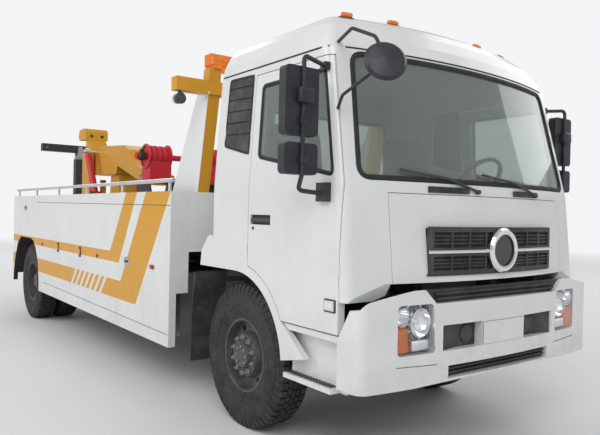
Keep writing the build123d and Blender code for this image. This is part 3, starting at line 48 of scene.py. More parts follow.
REAR_AXLE = FRONT_AXLE + 5.320
TYRE_RADIUS = 0.510

# Camera at the photograph's place: it stands ahead of the truck's right front corner
CAMERA_PLACE = (-3.351, -3.749 + FRONT_AXLE, 1.541)
CAMERA_YAW = math.radians(36.888)
CAMERA_PITCH = math.radians(-0.475)
CAMERA_ROLL = math.radians(1.247)
CAMERA_LENS = 36.875


def look_from(place, yaw, pitch, roll, lens):
    """Sets the camera at a place, turned by three angles."""
    ahead = Vector((math.sin(yaw) * math.cos(pitch), math.cos(yaw) * math.cos(pitch), math.sin(pitch)))
    level = Vector((math.cos(yaw), -math.sin(yaw), 0))
    upright = level.cross(ahead)
    right = math.cos(roll) * level + math.sin(roll) * upright
    top = -math.sin(roll) * level + math.cos(roll) * upright
    camera = bpy.data.objects.new("camera", bpy.data.cameras.new("camera"))
    camera.data.lens = lens
    camera.data.sensor_width = 36
    camera.data.sensor_fit = "HORIZONTAL"
    camera.data.clip_end = 400
    turn = Matrix((right, top, -ahead)).transposed().to_4x4()
    camera.matrix_world = Matrix.Translation(place) @ turn
    bpy.context.collection.objects.link(camera)
    bpy.context.scene.camera = camera


look_from(CAMERA_PLACE, CAMERA_YAW, CAMERA_PITCH, CAMERA_ROLL, CAMERA_LENS)


# Shader helpers
class Shader:
    """A material's node tree with short calls for the nodes that the finishes share."""

    def __init__(self, name):
        self.material = bpy.data.materials.new(name)
        self.material.use_nodes = True
        self.tree = self.material.node_tree
        self.surface = self.tree.nodes["Principled BSDF"]
        self.place = self.tree.nodes.new("ShaderNodeTexCoord").outputs["Object"]

    def node(self, kind, links, **settings):
        made = self.tree.nodes.new("ShaderNode" + kind)
        for key, value in settings.items():
            setattr(made, key, value)
        for key, value in links.items():
            self.put(made.inputs[key], value)
        return made

    def put(self, socket, value):
        if isinstance(value, bpy.types.NodeSocket):
            self.tree.links.new(value, socket)
        elif isinstance(value, (tuple, list)) and len(value) == 3 and socket.type == "RGBA":
            socket.default_value = (*value, 1)
        else:
            socket.default_value = value

    def math(self, operation, a, b=0.0, clamp=False):
        return self.node("Math", {0: a, 1: b}, operation=operation, use_clamp=clamp).outputs[0]

    def plus(self, a, b, clamp=False):
        return self.math("ADD", a, b, clamp)

    def minus(self, a, b):
        return self.math("SUBTRACT", a, b)

    def times(self, a, b, clamp=False):
        return self.math("MULTIPLY", a, b, clamp)

    def over(self, a, b):
        return self.math("GREATER_THAN", a, b)

    def under(self, a, b):
        return self.math("LESS_THAN", a, b)

    def reach(self, a, b):
        return self.math("SQRT", self.plus(self.times(a, a), self.times(b, b)))

    def axes(self):
        return self.node("SeparateXYZ", {0: self.place}).outputs

    def noise(self, scale, detail, roughness=0.55, stretch=None):
        where = self.place
        if stretch:
            where = self.node("Mapping", {"Vector": where, "Scale": stretch}).outputs[0]
        given = {"Vector": where, "Scale": scale, "Detail": detail, "Roughness": roughness}
        return self.node("TexNoise", given).outputs["Fac"]

    def spread(self, value, low, high, to_low=0.0, to_high=1.0):
        given = {"Value": value, "From Min": low, "From Max": high, "To Min": to_low, "To Max": to_high}
        return self.node("MapRange", given).outputs[0]

    def cloud(self, scale, detail, low, high, to_low=0.0, to_high=1.0, roughness=0.55, stretch=None):
        """Noise spread from a low and a high value."""
        return self.spread(self.noise(scale, detail, roughness, stretch), low, high, to_low, to_high)

    def mix(self, share, first, second):
        return self.node("Mix", {0: share, 6: first, 7: second}, data_type="RGBA").outputs[2]

    def bump(self, height, strength, distance):
        made = self.node("Bump", {"Height": height, "Strength": strength, "Distance": distance})
        self.tree.links.new(made.outputs[0], self.surface.inputs["Normal"])

    def set(self, **values):
        for key, value in values.items():
            self.put(self.surface.inputs[key.replace("_", " ")], value)
        return self.material


def shade(colour, factor):
    return tuple(min(1.0, c * factor) for c in colour)


DUST = (0.30, 0.27, 0.23)
WHITE = (0.74, 0.75, 0.745)
YELLOW = (0.66, 0.315, 0.010)
CHROME = (0.82, 0.82, 0.83)
BLACK = (0.028, 0.028, 0.03)
BADGE_Z = 1.3305
BADGE_FIELD_RADIUS = 0.1
BADGE_FIELD = (0.035, 0.036, 0.038)


def painted(name, colour, gloss=0.28, coat=0.5, dust=0.35, dust_top=1.1, pattern=None):
    """Sprayed paint: faint mottling, orange peel, and road dust that fades upwards."""
    s = Shader(name)
    base = s.mix(s.cloud(3.0, 4, 0.35, 0.7), colour, shade(colour, 0.93))
    if pattern:
        base = pattern(s, base)
    low = s.spread(s.axes()[2], 0.25, dust_top, 1.0, 0.0)
    dirt = s.times(s.times(low, s.cloud(7.0, 6, 0.42, 0.72, roughness=0.65)), dust, True)
    scuffs = s.cloud(40, 5, 0.62, 0.8, 0.0, 0.10, 0.7)
    dirt = s.plus(dirt, s.times(scuffs, dust * 2), True)
    s.bump(s.noise(420, 2), 0.06, 0.0008)
    return s.set(Base_Color=s.mix(dirt, base, DUST), Roughness=s.cloud(9, 5, 0.3, 0.75, gloss, gloss + 0.14),
                 Coat_Weight=coat, Coat_Roughness=0.12)


def plastic(name, colour, rough=0.55, grain=900, dust=0.25):
    """Grained moulded plastic with pale dust in its texture."""
    s = Shader(name)
    base = s.mix(s.cloud(14, 5, 0.4, 0.75), colour, shade(colour, 1.5))
    dirt = s.times(s.cloud(5, 6, 0.45, 0.75, roughness=0.7), dust)
    s.bump(s.noise(grain, 2), 0.25, 0.0006)
    return s.set(Base_Color=s.mix(dirt, base, DUST), Roughness=s.cloud(30, 4, 0.3, 0.7, rough, rough + 0.2))


def bare_metal(name, colour, rough, brushed=None, metallic=1.0):
    """Bright metal with fine drawn lines and a little tarnish."""
    s = Shader(name)
    tarnish = s.cloud(18, 6, 0.5, 0.8, 0.0, 0.5, 0.65)
    s.bump(s.noise(160, 3, stretch=brushed), 0.08, 0.0004)
    return s.set(Base_Color=s.mix(tarnish, colour, shade(colour, 0.6)), Metallic=metallic,
                 Roughness=s.cloud(60, 4, 0.3, 0.75, rough * 0.7, rough * 1.5, stretch=brushed))


def ringed(name, colour):
    """A bright ring with a dark plain field inside it."""
    s = Shader(name)
    x, _, z = s.axes()
    rim = s.over(s.reach(x, s.minus(z, BADGE_Z)), BADGE_FIELD_RADIUS)
    s.bump(s.noise(160, 3), 0.05, 0.0004)
    bright = s.mix(s.cloud(18, 6, 0.5, 0.8, 0.0, 0.3, 0.65), colour, shade(colour, 0.6))
    return s.set(Base_Color=s.mix(rim, BADGE_FIELD, bright), Metallic=rim,
                 Roughness=s.cloud(60, 4, 0.3, 0.75, 0.08, 0.25))


def faceted(name, colour):
    """A bright reflector of many small facets."""
    s = Shader(name)
    cells = s.node("TexVoronoi", {"Vector": s.place, "Scale": 26.0}, feature="F1")
    s.bump(cells.outputs["Distance"], 0.9, 0.02)
    tone = s.mix(s.cloud(22, 4, 0.35, 0.7), colour, shade(colour, 0.55))
    return s.set(Base_Color=tone, Metallic=0.9, Roughness=s.cloud(70, 3, 0.3, 0.7, 0.10, 0.28))


def rubber(name, colour, dust):
    """Rubber, greyed by road dust in its grooves."""
    s = Shader(name)
    dirt = s.times(s.cloud(11, 6, 0.35, 0.75, roughness=0.7), dust)
    s.bump(s.noise(260, 4), 0.3, 0.0012)
    return s.set(Base_Color=s.mix(dirt, colour, shade(DUST, 0.55)),
                 Roughness=s.cloud(35, 4, 0.3, 0.7, 0.62, 0.86))


def glazing(name, colour, clear, rough=0.03):
    """Tinted glass: a thin dust film, a faint ripple and real see-through."""
    s = Shader(name)
    film = s.cloud(6, 6, 0.45, 0.8, 0.0, 0.12, 0.7)
    s.bump(s.noise(2.5, 1), 0.02, 0.003)
    return s.set(Base_Color=s.mix(film, colour, (0.5, 0.5, 0.48)), Roughness=rough, IOR=1.45,
                 Transmission_Weight=clear)


def chequer(name, colour):
    """Raised-pattern floor plate, worn bright on its ridges."""
    s = Shader(name)
    ridges = []
    for turn, shift in ((45, 0.0), (-45, 0.5)):
        turned = s.node("Mapping", {"Vector": s.place, "Rotation": (0, 0, math.radians(turn)),
                                    "Location": (shift, 0, 0)}).outputs[0]
        across = s.node("TexWave", {"Vector": turned, "Scale": 12.0}, bands_direction="X").outputs["Fac"]
        along = s.node("TexWave", {"Vector": turned, "Scale": 6.0}, bands_direction="Y").outputs["Fac"]
        ridges.append(s.times(s.spread(across, 0.72, 0.85), s.spread(along, 0.55, 0.7), True))
    ridge = s.math("MAXIMUM", *ridges)
    s.bump(ridge, 0.6, 0.003)
    dirt = s.times(s.cloud(4, 6, 0.4, 0.75, roughness=0.7), 0.5)
    base = s.mix(s.times(ridge, 0.5), colour, shade(colour, 1.35))
    return s.set(Base_Color=s.mix(dirt, base, DUST), Metallic=0.6,
                 Roughness=s.cloud(20, 4, 0.3, 0.7, 0.38, 0.6))


def lens(name, colour, rough=0.12, glow=0.0, ribs=90.0, clear=0.35):
    """Lamp lens with moulded optic ribs."""
    s = Shader(name)
    wave = s.node("TexWave", {"Vector": s.place, "Scale": ribs})
    s.bump(wave.outputs["Fac"], 0.35, 0.002)
    tone = s.mix(s.cloud(20, 4, 0.35, 0.7), colour, shade(colour, 0.75))
    return s.set(Base_Color=tone, Roughness=rough, Transmission_Weight=clear, Emission_Color=colour,
                 Emission_Strength=glow)


# Faces where a painted piece changes its colour: the body's sides, its front wall, and the gantry's fins
BODY_TOP = 1.69
SIDE_X = 1.2335
WALL_BACK = 0.8301
WALL_LOW = 1.1995
POST_BACK = 0.874
POST_LEAN = -0.158
FIN_X = 0.9675
FIN_TOP = 2.49
OUTER_FACE = (0.9985, 1.01)
BARS_FOOT = 0.690
# The body's stripes. Columns: start of the outer slanted edge and its slope, the same of the inner one,
# and the low and high Z of the band's run along the body
LOWER_STRIPE = (0.792, 0.6912, 1.291, 0.6764, BARS_FOOT, 0.862)
UPPER_STRIPE = (1.487, 0.629, 1.748, 0.694, 1.030, 1.128)
# Slanted bars that break the lower stripe above BARS_FOOT: their slope, pitch, share of the pitch, and run
BAR_SLOPE = 0.95
BAR_PITCH = 0.155
BAR_SHARE = 0.58
BARS_START = 2.30
BARS_END = 3.46


def stripe(s, along, z, outer, outer_slope, inner, inner_slope, low, high):
    """One angled band: down the body's side, then back along it."""
    down = s.minus(BODY_TOP, z)
    past_outer = s.over(along, s.plus(outer, s.times(down, outer_slope)))
    past_inner = s.over(along, s.plus(inner, s.times(down, inner_slope)))
    hole = s.minus(1.0, s.times(past_inner, s.over(z, high)))
    return s.times(s.times(past_outer, s.over(z, low)), hole)


def body_stripes(s, base):
    """Two angled yellow bands on the body's outer faces, the lower one broken by slanted bars."""
    x, y, z = s.axes()
    along = s.minus(y, FRONT_AXLE)
    phase = s.math("FRACT", s.math("DIVIDE", s.plus(along, s.times(z, BAR_SLOPE)), BAR_PITCH))
    lean = s.plus(along, s.times(s.minus(z, BARS_FOOT), BAR_SLOPE))
    zone = s.times(s.over(lean, BARS_START), s.under(lean, BARS_END))
    gap = s.times(zone, s.minus(1.0, s.under(phase, BAR_SHARE)))
    lower = s.times(stripe(s, along, z, *LOWER_STRIPE), s.minus(1.0, gap))
    bands = s.plus(lower, stripe(s, along, z, *UPPER_STRIPE), True)
    side = s.over(s.math("ABSOLUTE", x), SIDE_X)
    worn = s.cloud(60, 5, 0.66, 0.8, 1.0, 0.75, 0.7)
    return s.mix(s.times(s.times(bands, side), worn), base, YELLOW)


def front_wall_white(s, base):
    """The body's painted front wall, ahead of the dark bearers."""
    _, y, z = s.axes()
    return s.mix(s.times(s.under(y, FRONT_AXLE + WALL_BACK), s.over(z, WALL_LOW)), base, WHITE)


def gantry_colours(s, base):
    """White fins and outer faces beside the yellow posts."""
    x, y, z = s.axes()
    reach = s.math("ABSOLUTE", x)
    slant = s.plus(FRONT_AXLE + POST_BACK, s.times(s.minus(z, BODY_TOP), POST_LEAN))
    fin = s.times(s.over(reach, FIN_X), s.over(y, slant))
    outside = s.times(s.over(reach, OUTER_FACE[0]), s.under(reach, OUTER_FACE[1]))
    fin = s.math("MAXIMUM", fin, outside)
    return s.mix(s.times(fin, s.under(z, FIN_TOP)), base, WHITE)


FINISHES = {
    "body_white": painted("cab_paint", WHITE),
    "body_sides_paint": painted("body_side_paint", WHITE, 0.36, 0.06, 0.22, pattern=body_stripes),
    "gantry_paint": painted("gantry_paint", YELLOW, 0.34, 0.1, pattern=gantry_colours),
    "bearer_paint": painted("bearer_paint", BLACK, 0.42, 0.1, pattern=front_wall_white),
    "stripe_yellow": painted("boom_paint", YELLOW, 0.34, 0.12, 0.15, 2.6),
    "frame_black": painted("frame_paint", BLACK, 0.45, 0.1, 0.5),
    "deck_grey": painted("deck_paint", (0.42, 0.43, 0.43), 0.45, 0.1, 0.5, 2.4),
    "bright_steel": bare_metal("drawn_steel", (0.56, 0.56, 0.57), 0.35, (1, 1, 0.05)),
    "winch_red": painted("winch_paint", (0.58, 0.008, 0.024), 0.34, 0.12, 0.10, 2.6),
    "bright_chrome": bare_metal("chrome", CHROME, 0.1),
    "rail_steel": bare_metal("rail_metal", (0.66, 0.67, 0.68), 0.35, (1, 0.05, 1), 0.8),
    "trim_plastic": plastic("dark_trim", (0.030, 0.031, 0.033)),
    "mirror_plastic": plastic("mirror_shell", (0.017, 0.018, 0.024), 0.34, 700, 0.06),
    "window_glass": glazing("window_glass", (0.60, 0.66, 0.62), 0.84),
    "lamp_clear": lens("headlamp_lens", (0.75, 0.77, 0.78)),
    "lamp_red": lens("tail_lens", (0.55, 0.02, 0.015), 0.2),
    "beacon_orange": lens("beacon_lens", (0.85, 0.24, 0.015), 0.15, 0.15, 40),
    "seat_cloth": plastic("seat_weave", (0.06, 0.06, 0.07), 0.8, 1400, 0.1),
    "engine_iron": plastic("engine_casting", (0.11, 0.11, 0.11), 0.7, 300, 0.6),
    "tank_grey": painted("tank_paint", (0.16, 0.19, 0.18), 0.4, 0.1, 0.6),
    "wheel_grey": painted("wheel_paint", (0.060, 0.062, 0.066), 0.45, 0.1),
    "tyre_rubber": rubber("tyre_rubber", (0.014, 0.014, 0.015), 0.28),
    "nut_steel": bare_metal("nut_steel", (0.36, 0.35, 0.33), 0.5, metallic=0.7),
    "lamp_amber": lens("amber_lens", (0.86, 0.19, 0.006), 0.15, 0.12, clear=0.08),
    "lamp_cover": glazing("lamp_cover", (0.93, 0.95, 0.96), 1.0, 0.02),
    "ring_chrome": ringed("ring_chrome", CHROME),
    "lamp_dark": plastic("lamp_housing", (0.05, 0.05, 0.052), 0.45, 900, 0.05),
    "lamp_reflector": bare_metal("lamp_reflector", (0.86, 0.86, 0.87), 0.08),
    "lamp_facets": faceted("lamp_facets", (0.78, 0.79, 0.81)),
    "fog_glass": lens("fog_lens", (0.07, 0.07, 0.075), 0.08, ribs=60),
    "mirror_glass": bare_metal("mirror_glass", (0.80, 0.82, 0.83), 0.02),
    # Dark seams; the same finish also paints shade lines on the bumper's creases and along the lockers' top
    # seam
    "seam_dark": plastic("seam_gap_and_shade_line", (0.05, 0.05, 0.05), 0.7, 700, 0.1),
    "chequer_plate": chequer("deck_plate", (0.40, 0.41, 0.41)),
    # Black rubber; the same finish also gives the arches' deep linings, which are painted shade
    "black_rubber": rubber("seal_rubber", (0.012, 0.012, 0.013), 0.12),
}
OWN_FINISH = {"body_sides": "body_sides_paint", "gantry": "gantry_paint", "deck": "chequer_plate",
              "deck_bearers": "bearer_paint", "grille_ring": "ring_chrome", "mirror_left": "mirror_plastic",
              "mirror_right": "mirror_plastic", "front_mirror": "mirror_plastic"}
for entry in frame["record"]["subparts"]:
    finish = FINISHES[OWN_FINISH.get(entry["node"], entry["material_slot"])]
    for place in NODES[entry["node"]].material_slots:
        place.material = finish


# Mesh helpers
SIDES = ((1, "left"), (-1, "right"))
ALONG_X = (1, 0, 0)
FORWARD = (0, -1, 0)
BACKWARD = (0, 1, 0)
WELD = 1e-6
# Longest run of an outline between two points
RUN = 0.05
# Share of an edge that a rounded corner may take
CORNER_SHARE = 0.45


def spot(x, back, z):
    """A place from its distance behind the front axle."""
    return Vector((x, FRONT_AXLE + back, z))


def around(middle, half):
    """A low and a high value about a middle."""
    return middle - half, middle + half


def oblong(u, v):
    """The corners of an upright rectangle, from its low and high values."""
    return [(u[0], v[0]), (u[1], v[0]), (u[1], v[1]), (u[0], v[1])]


def band(low, high, n):
    """The faces between two rings of n points each, from the numbers of their first points."""
    return [(low + k, low + (k + 1) % n, high + (k + 1) % n, high + k) for k in range(n)]


def written(work, mesh):
    """Puts a working mesh into a mesh."""
    work.to_mesh(mesh)
    work.free()
    return mesh


def mesh_from(name, points, faces):
    mesh = bpy.data.meshes.new(name)
    mesh.from_pydata([tuple(p) for p in points], [], faces)
    return mesh


def mended(mesh):
    """The same mesh with doubled points welded and its faces turned outwards."""
    work = bmesh.new()
    work.from_mesh(mesh)
    bmesh.ops.remove_doubles(work, verts=work.verts, dist=WELD)
    bmesh.ops.recalc_face_normals(work, faces=work.faces)
    return written(work, mesh)


def joined(name, meshes, finish, body, smooth=None):
    """Several meshes as one piece that rides on a body; edges over the smooth angle stay sharp."""
    work = bmesh.new()
    for mesh in meshes:
        work.from_mesh(mesh)
        bpy.data.meshes.remove(mesh)
    mesh = mended(written(work, bpy.data.meshes.new(name)))
    mesh.materials.clear()
    mesh.materials.append(FINISHES[finish])
    if smooth:
        for face in mesh.polygons:
            face.use_smooth = True
        mesh.set_sharp_from_angle(angle=math.radians(smooth))
    piece = bpy.data.objects.new(name, mesh)
    bpy.context.collection.objects.link(piece)
    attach(piece, body)
    return piece


def mirrored(mesh):
    """The same mesh on the truck's other side."""
    twin = mesh.copy()
    twin.transform(Matrix.Scale(-1, 4, ALONG_X))
    twin.flip_normals()
    return twin


def sided(side, *meshes):
    """Meshes made for the left side, turned over for the right one."""
    return [mesh if side > 0 else mirrored(mesh) for mesh in meshes]


def both(name, meshes, finish, body, smooth=None):
    """A piece made of meshes on the left side and their mirror images."""
    return joined(name, [m for mesh in meshes for m in (mirrored(mesh), mesh)], finish, body, smooth)


def block_mesh(low, high, edge=0.0, segments=2):
    """A block with rounded edges, between two corners."""
    work = bmesh.new()
    bmesh.ops.create_cube(work, size=1)
    for v in work.verts:
        v.co = Vector([lo + (c + 0.5) * (hi - lo) for lo, hi, c in zip(low, high, v.co)])
    if edge:
        bmesh.ops.bevel(work, geom=list(work.edges), offset=edge, segments=segments, profile=0.5,
                        affect="EDGES")
    return written(work, bpy.data.meshes.new("block"))


def box(x, back, z, edge, segments):
    """A rounded block from low and high values of X, distance back and Z."""
    return block_mesh(spot(x[0], back[0], z[0]), spot(x[1], back[1], z[1]), edge, segments)


def side_plate(outline, x, thick, edge=0.0):
    """A flat plate standing in the side plane, from (distance back, height) points."""
    work = bmesh.new()
    face = work.faces.new([work.verts.new(spot(x, back, z)) for back, z in outline])
    lifted = bmesh.ops.extrude_face_region(work, geom=[face])
    for v in lifted["geom"]:
        if isinstance(v, bmesh.types.BMVert):
            v.co.x += thick
    if edge:
        rim = [e for e in work.edges if all(abs(v.co.x - x - thick) < WELD for v in e.verts)]
        bmesh.ops.bevel(work, geom=rim, offset=edge, segments=2, profile=0.5, affect="EDGES")
    bmesh.ops.recalc_face_normals(work, faces=work.faces)
    return written(work, bpy.data.meshes.new("plate"))


def lathe_mesh(profile, centre, axis, steps):
    """A closed outline of (along, radius) points, turned about an axis through a centre."""
    along = Vector(axis).normalized()
    across = along.orthogonal().normalized()
    third = along.cross(across)
    n = len(profile)
    points, faces = [], []
    for step in range(steps):
        turn = 2 * math.pi * step / steps
        out = math.cos(turn) * across + math.sin(turn) * third
        points += [Vector(centre) + along * a + out * r for a, r in profile]
        faces += band(step * n, (step + 1) % steps * n, n)
    return mended(mesh_from("turned", points, faces))


def tube_mesh(route, radius, sides, closed=False, flat=1.0, ups=None):
    """A tube or strip along points; flat below 1 flattens it against its surface, which ups gives."""
    route = [Vector(p) for p in route]
    n = len(route)
    points, faces = [], []
    up = None
    for i, p in enumerate(route):
        before = route[i - 1] if (i or closed) else p
        after = route[(i + 1) % n] if (i < n - 1 or closed) else p
        way = (after - before).normalized()
        if ups:
            up = Vector(ups[i])
        elif up is None:
            up = way.orthogonal()
        up = (up - way * up.dot(way)).normalized()
        side = way.cross(up)
        for k in range(sides):
            turn = 2 * math.pi * k / sides
            points.append(p + side * math.cos(turn) * radius + up * math.sin(turn) * radius * flat)
    for i in range(n if closed else n - 1):
        faces += band(i * sides, (i + 1) % n * sides, sides)
    if not closed:
        faces.append(tuple(range(sides - 1, -1, -1)))
        faces.append(tuple((n - 1) * sides + k for k in range(sides)))
    return mesh_from("tube", points, faces)


def rounded(corners, radius, steps=5):
    """A closed outline with its corners rounded, from corner points (u, v)."""
    outline = []
    n = len(corners)
    for i, c in enumerate(corners):
        c = Vector(c)
        back = Vector(corners[i - 1]) - c
        on = Vector(corners[(i + 1) % n]) - c
        reach = min(radius, back.length * CORNER_SHARE, on.length * CORNER_SHARE)
        first, last = c + back.normalized() * reach, c + on.normalized() * reach
        for k in range(steps + 1):
            t = k / steps
            outline.append(((1 - t) ** 2) * first + 2 * t * (1 - t) * c + t * t * last)
    return outline


def traced(corners, radius, steps=6):
    """A rounded outline with points added on its long runs."""
    outline = rounded(corners, radius, steps)
    full = []
    for i, a in enumerate(outline):
        b = outline[(i + 1) % len(outline)]
        parts = max(1, int((b - a).length / RUN))
        full += [a.lerp(b, k / parts) for k in range(parts)]
    return full


def skin(*nodes):
    """A tree of the faces of some CAD nodes, to lay trims on."""
    points, faces = [], []
    for node in nodes:
        mesh = NODES[node].data
        shift = len(points)
        points += [v.co.copy() for v in mesh.vertices]
        faces += [[shift + i for i in f.vertices] for f in mesh.polygons]
    return BVHTree.FromPolygons(points, faces)


def from_side(side):
    """Where rays start beside the truck, and their way in."""
    return (lambda back, z: spot(side * 3, back, z)), (-side, 0, 0)


FROM_FRONT = (lambda x, z: (x, -6, z)), BACKWARD
FROM_BEHIND_CAB = (lambda x, z: (x, 0, z)), FORWARD


def lay(outline, tree, look, lift):
    """Drops an outline on a surface; gives the places and the directions that face out."""
    to_point, way = look
    places, ups = [], []
    for uv in outline:
        place, normal, _, _ = tree.ray_cast(Vector(to_point(*uv)), Vector(way))
        if place is None:
            continue
        if normal.dot(Vector(way)) > 0:
            normal = -normal
        places.append(place + normal * lift)
        ups.append(normal)
    return places, ups


# Node trees for what repeats
def repeat_tree(name, start_nodes, inputs):
    """A tree that sets a part at the points of a ring or row, and makes it real."""
    tree = bpy.data.node_groups.new(name, "GeometryNodeTree")
    face = tree.interface
    parts = [("Part", "NodeSocketObject", None), ("Finish", "NodeSocketMaterial", None)]
    for label, kind, value in parts + inputs:
        socket = face.new_socket(label, in_out="INPUT", socket_type=kind)
        if value is not None:
            socket.default_value = value
    face.new_socket("Pieces", in_out="OUTPUT", socket_type="NodeSocketGeometry")
    add, link = tree.nodes.new, tree.links.new
    given, out = add("NodeGroupInput"), add("NodeGroupOutput")
    part, spread = add("GeometryNodeObjectInfo"), add("GeometryNodeInstanceOnPoints")
    real, paint = add("GeometryNodeRealizeInstances"), add("GeometryNodeSetMaterial")
    link(given.outputs["Part"], part.inputs["Object"])
    link(part.outputs["Geometry"], spread.inputs["Instance"])
    link(spread.outputs[0], real.inputs[0])
    link(real.outputs[0], paint.inputs[0])
    link(given.outputs["Finish"], paint.inputs["Material"])
    link(paint.outputs[0], out.inputs[0])
    start_nodes(given, spread, add, link)
    return tree


def ring_nodes(given, spread, add, link):
    circle, index = add("GeometryNodeMeshCircle"), add("GeometryNodeInputIndex")
    share, turn, angles = add("ShaderNodeMath"), add("ShaderNodeMath"), add("ShaderNodeCombineXYZ")
    share.operation, turn.operation = "DIVIDE", "MULTIPLY"
    share.inputs[0].default_value = 2 * math.pi
    link(given.outputs["Count"], circle.inputs["Vertices"])
    link(given.outputs["Radius"], circle.inputs["Radius"])
    link(given.outputs["Count"], share.inputs[1])
    link(index.outputs[0], turn.inputs[0])
    link(share.outputs[0], turn.inputs[1])
    link(turn.outputs[0], angles.inputs[2])
    link(circle.outputs[0], spread.inputs["Points"])
    link(angles.outputs[0], spread.inputs["Rotation"])


def row_nodes(given, spread, add, link):
    line = add("GeometryNodeMeshLine")
    link(given.outputs["Count"], line.inputs["Count"])
    link(given.outputs["Start"], line.inputs["Start Location"])
    link(given.outputs["Step"], line.inputs["Offset"])
    link(line.outputs[0], spread.inputs["Points"])


COUNT_INPUT = ("Count", "NodeSocketInt", 8)
RING = repeat_tree("ring_of_parts", ring_nodes, [COUNT_INPUT, ("Radius", "NodeSocketFloat", 0.1)])
ROW = repeat_tree("row_of_parts", row_nodes, [COUNT_INPUT, ("Start", "NodeSocketVector", (0, 0, 0)),
                                              ("Step", "NodeSocketVector", (0.1, 0, 0))])


def repeated(tree, part_mesh, finish, place=None, **values):
    """The mesh that a tree makes of a part, moved to its place."""
    part = bpy.data.objects.new("part", part_mesh)
    carrier = bpy.data.objects.new("carrier", bpy.data.meshes.new("carrier"))
    bpy.context.collection.objects.link(carrier)
    bpy.context.collection.objects.link(part)
    modifier = carrier.modifiers.new("repeat", "NODES")
    modifier.node_group = tree
    ids = {i.name: i.identifier for i in tree.interface.items_tree if i.in_out == "INPUT"}
    modifier[ids["Part"]] = part
    modifier[ids["Finish"]] = FINISHES[finish]
    for key, value in values.items():
        modifier[ids[key]] = value
    graph = bpy.context.evaluated_depsgraph_get()
    mesh = bpy.data.meshes.new_from_object(carrier.evaluated_get(graph))
    bpy.data.objects.remove(carrier)
    bpy.data.objects.remove(part)
    if place is not None:
        mesh.transform(place)
    return mesh


def facing_x(centre, side=1):
    """Turns a ring about Z into one about X, at a centre, facing out on a side."""
    return Matrix.Translation(centre) @ Matrix.Rotation(math.radians(90 * side), 4, "Y")


# Tyres: carcass with shoulder blocks, centre blocks and sidewall ribs
LUG = 0.014
CARCASS_RADIUS = TYRE_RADIUS - LUG
# One half of the carcass, from the bead out: columns are distance from the tyre's middle, and radius
CARCASS_SIDE = [(0.090, 0.2545), (0.1035, 0.262), (0.1075, 0.280), (0.117, 0.300), (0.1265, 0.345),
                (0.129, 0.385), (0.127, 0.420), (0.1205, 0.455), (0.112, 0.478), (0.103, CARCASS_RADIUS),
                (0.05, CARCASS_RADIUS)]
CARCASS = [(-x, r) for x, r in CARCASS_SIDE] + [(x, r) for x, r in reversed(CARCASS_SIDE)]
# Columns: low and high radius, and distance of the foot and the face from the tyre's middle
SIDEWALL_RIBS = ((0.340, 0.352, 0.1255, 0.1293), (0.432, 0.442, 0.1240, 0.1272))
RIB_EDGE = 0.004
TYRE_STEPS = 96
SHOULDER_LENGTH = 0.040
SHOULDER_BLOCKS = 56
CENTRE_BLOCKS = 52


def lug_mesh(low, high, long, lean):
    """A tread block: radial X, round the tyre Y, across the tread Z; its top is smaller than its foot."""
    points = []
    for radial, trim in ((-0.008, 0.0), (LUG - 0.003, 0.002), (LUG, 0.004)):
        for along, across in ((-1, low), (1, low), (1, high), (-1, high)):
            inward = trim if across == low else -trim
            points.append((radial, along * (long / 2 - trim) + across * lean, across + inward))
    return mesh_from("lug", points, [(3, 2, 1, 0), (8, 9, 10, 11)] + band(0, 4, 4) + band(4, 8, 4))


def shoulder_mesh(sign):
    """A shoulder block that turns down on the sidewall."""
    base = CARCASS_RADIUS
    section = [(base - 0.004, 0.057), (base + LUG, 0.061), (base + LUG, 0.096), (base + LUG - 0.004, 0.105),
               (0.470, 0.1205), (0.452, 0.123), (0.462, 0.114), (base - 0.012, 0.0995)]
    points = [(r - base, s * SHOULDER_LENGTH / 2, w * sign) for s in (-1, 1) for r, w in section]
    n = len(section)
    faces = [tuple(range(n)), tuple(range(2 * n - 1, n - 1, -1))]
    return mesh_from("shoulder", points, faces + band(0, n, n))


def tyre_meshes(centre):
    """Carcass, tread blocks and ribs of one tyre about its middle."""
    place = facing_x(centre)
    parts = [lathe_mesh(CARCASS, centre, ALONG_X, TYRE_STEPS)]
    for sign in (-1, 1):
        lug = lug_mesh(*sorted((sign * 0.018, sign * 0.053)), 0.046, 0.25)
        for part in (shoulder_mesh(sign), lug):
            parts.append(repeated(RING, part, "tyre_rubber", place, Count=SHOULDER_BLOCKS,
                                  Radius=CARCASS_RADIUS))
        for low, high, inner, outer in SIDEWALL_RIBS:
            parts.append(lathe_mesh([(sign * inner, low), (sign * outer, low + RIB_EDGE),
                                     (sign * outer, high - RIB_EDGE), (sign * inner, high)],
                                    centre, ALONG_X, TYRE_STEPS))
    parts.append(repeated(RING, lug_mesh(-0.014, 0.014, 0.050, -0.2), "tyre_rubber", place,
                          Count=CENTRE_BLOCKS, Radius=CARCASS_RADIUS))
    return parts


# Columns: tyres, body, axle's Y, the tyres' X, and X and ring radius of the nuts and of the hub's bolts
WHEELS = [("front_tyre", "front_wheel", FRONT_AXLE, (0.915,), (1.0065, 0.128), (1.0385, 0.062)),
          ("rear_tyres", "rear_wheels", REAR_AXLE, (0.777, 1.077), (0.9385, 0.144), (1.1385, 0.064))]
for tyres, wheel, y, places, _, _ in WHEELS:
    for side, word in SIDES:
        node = f"{tyres}_{word}"
        meshes = [m for x in places for m in tyre_meshes((side * x, y, TYRE_RADIUS))]
        tyre = joined(node + "_tread", meshes, "tyre_rubber", f"{word}_{wheel}", 32)
        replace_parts(tyre, node)


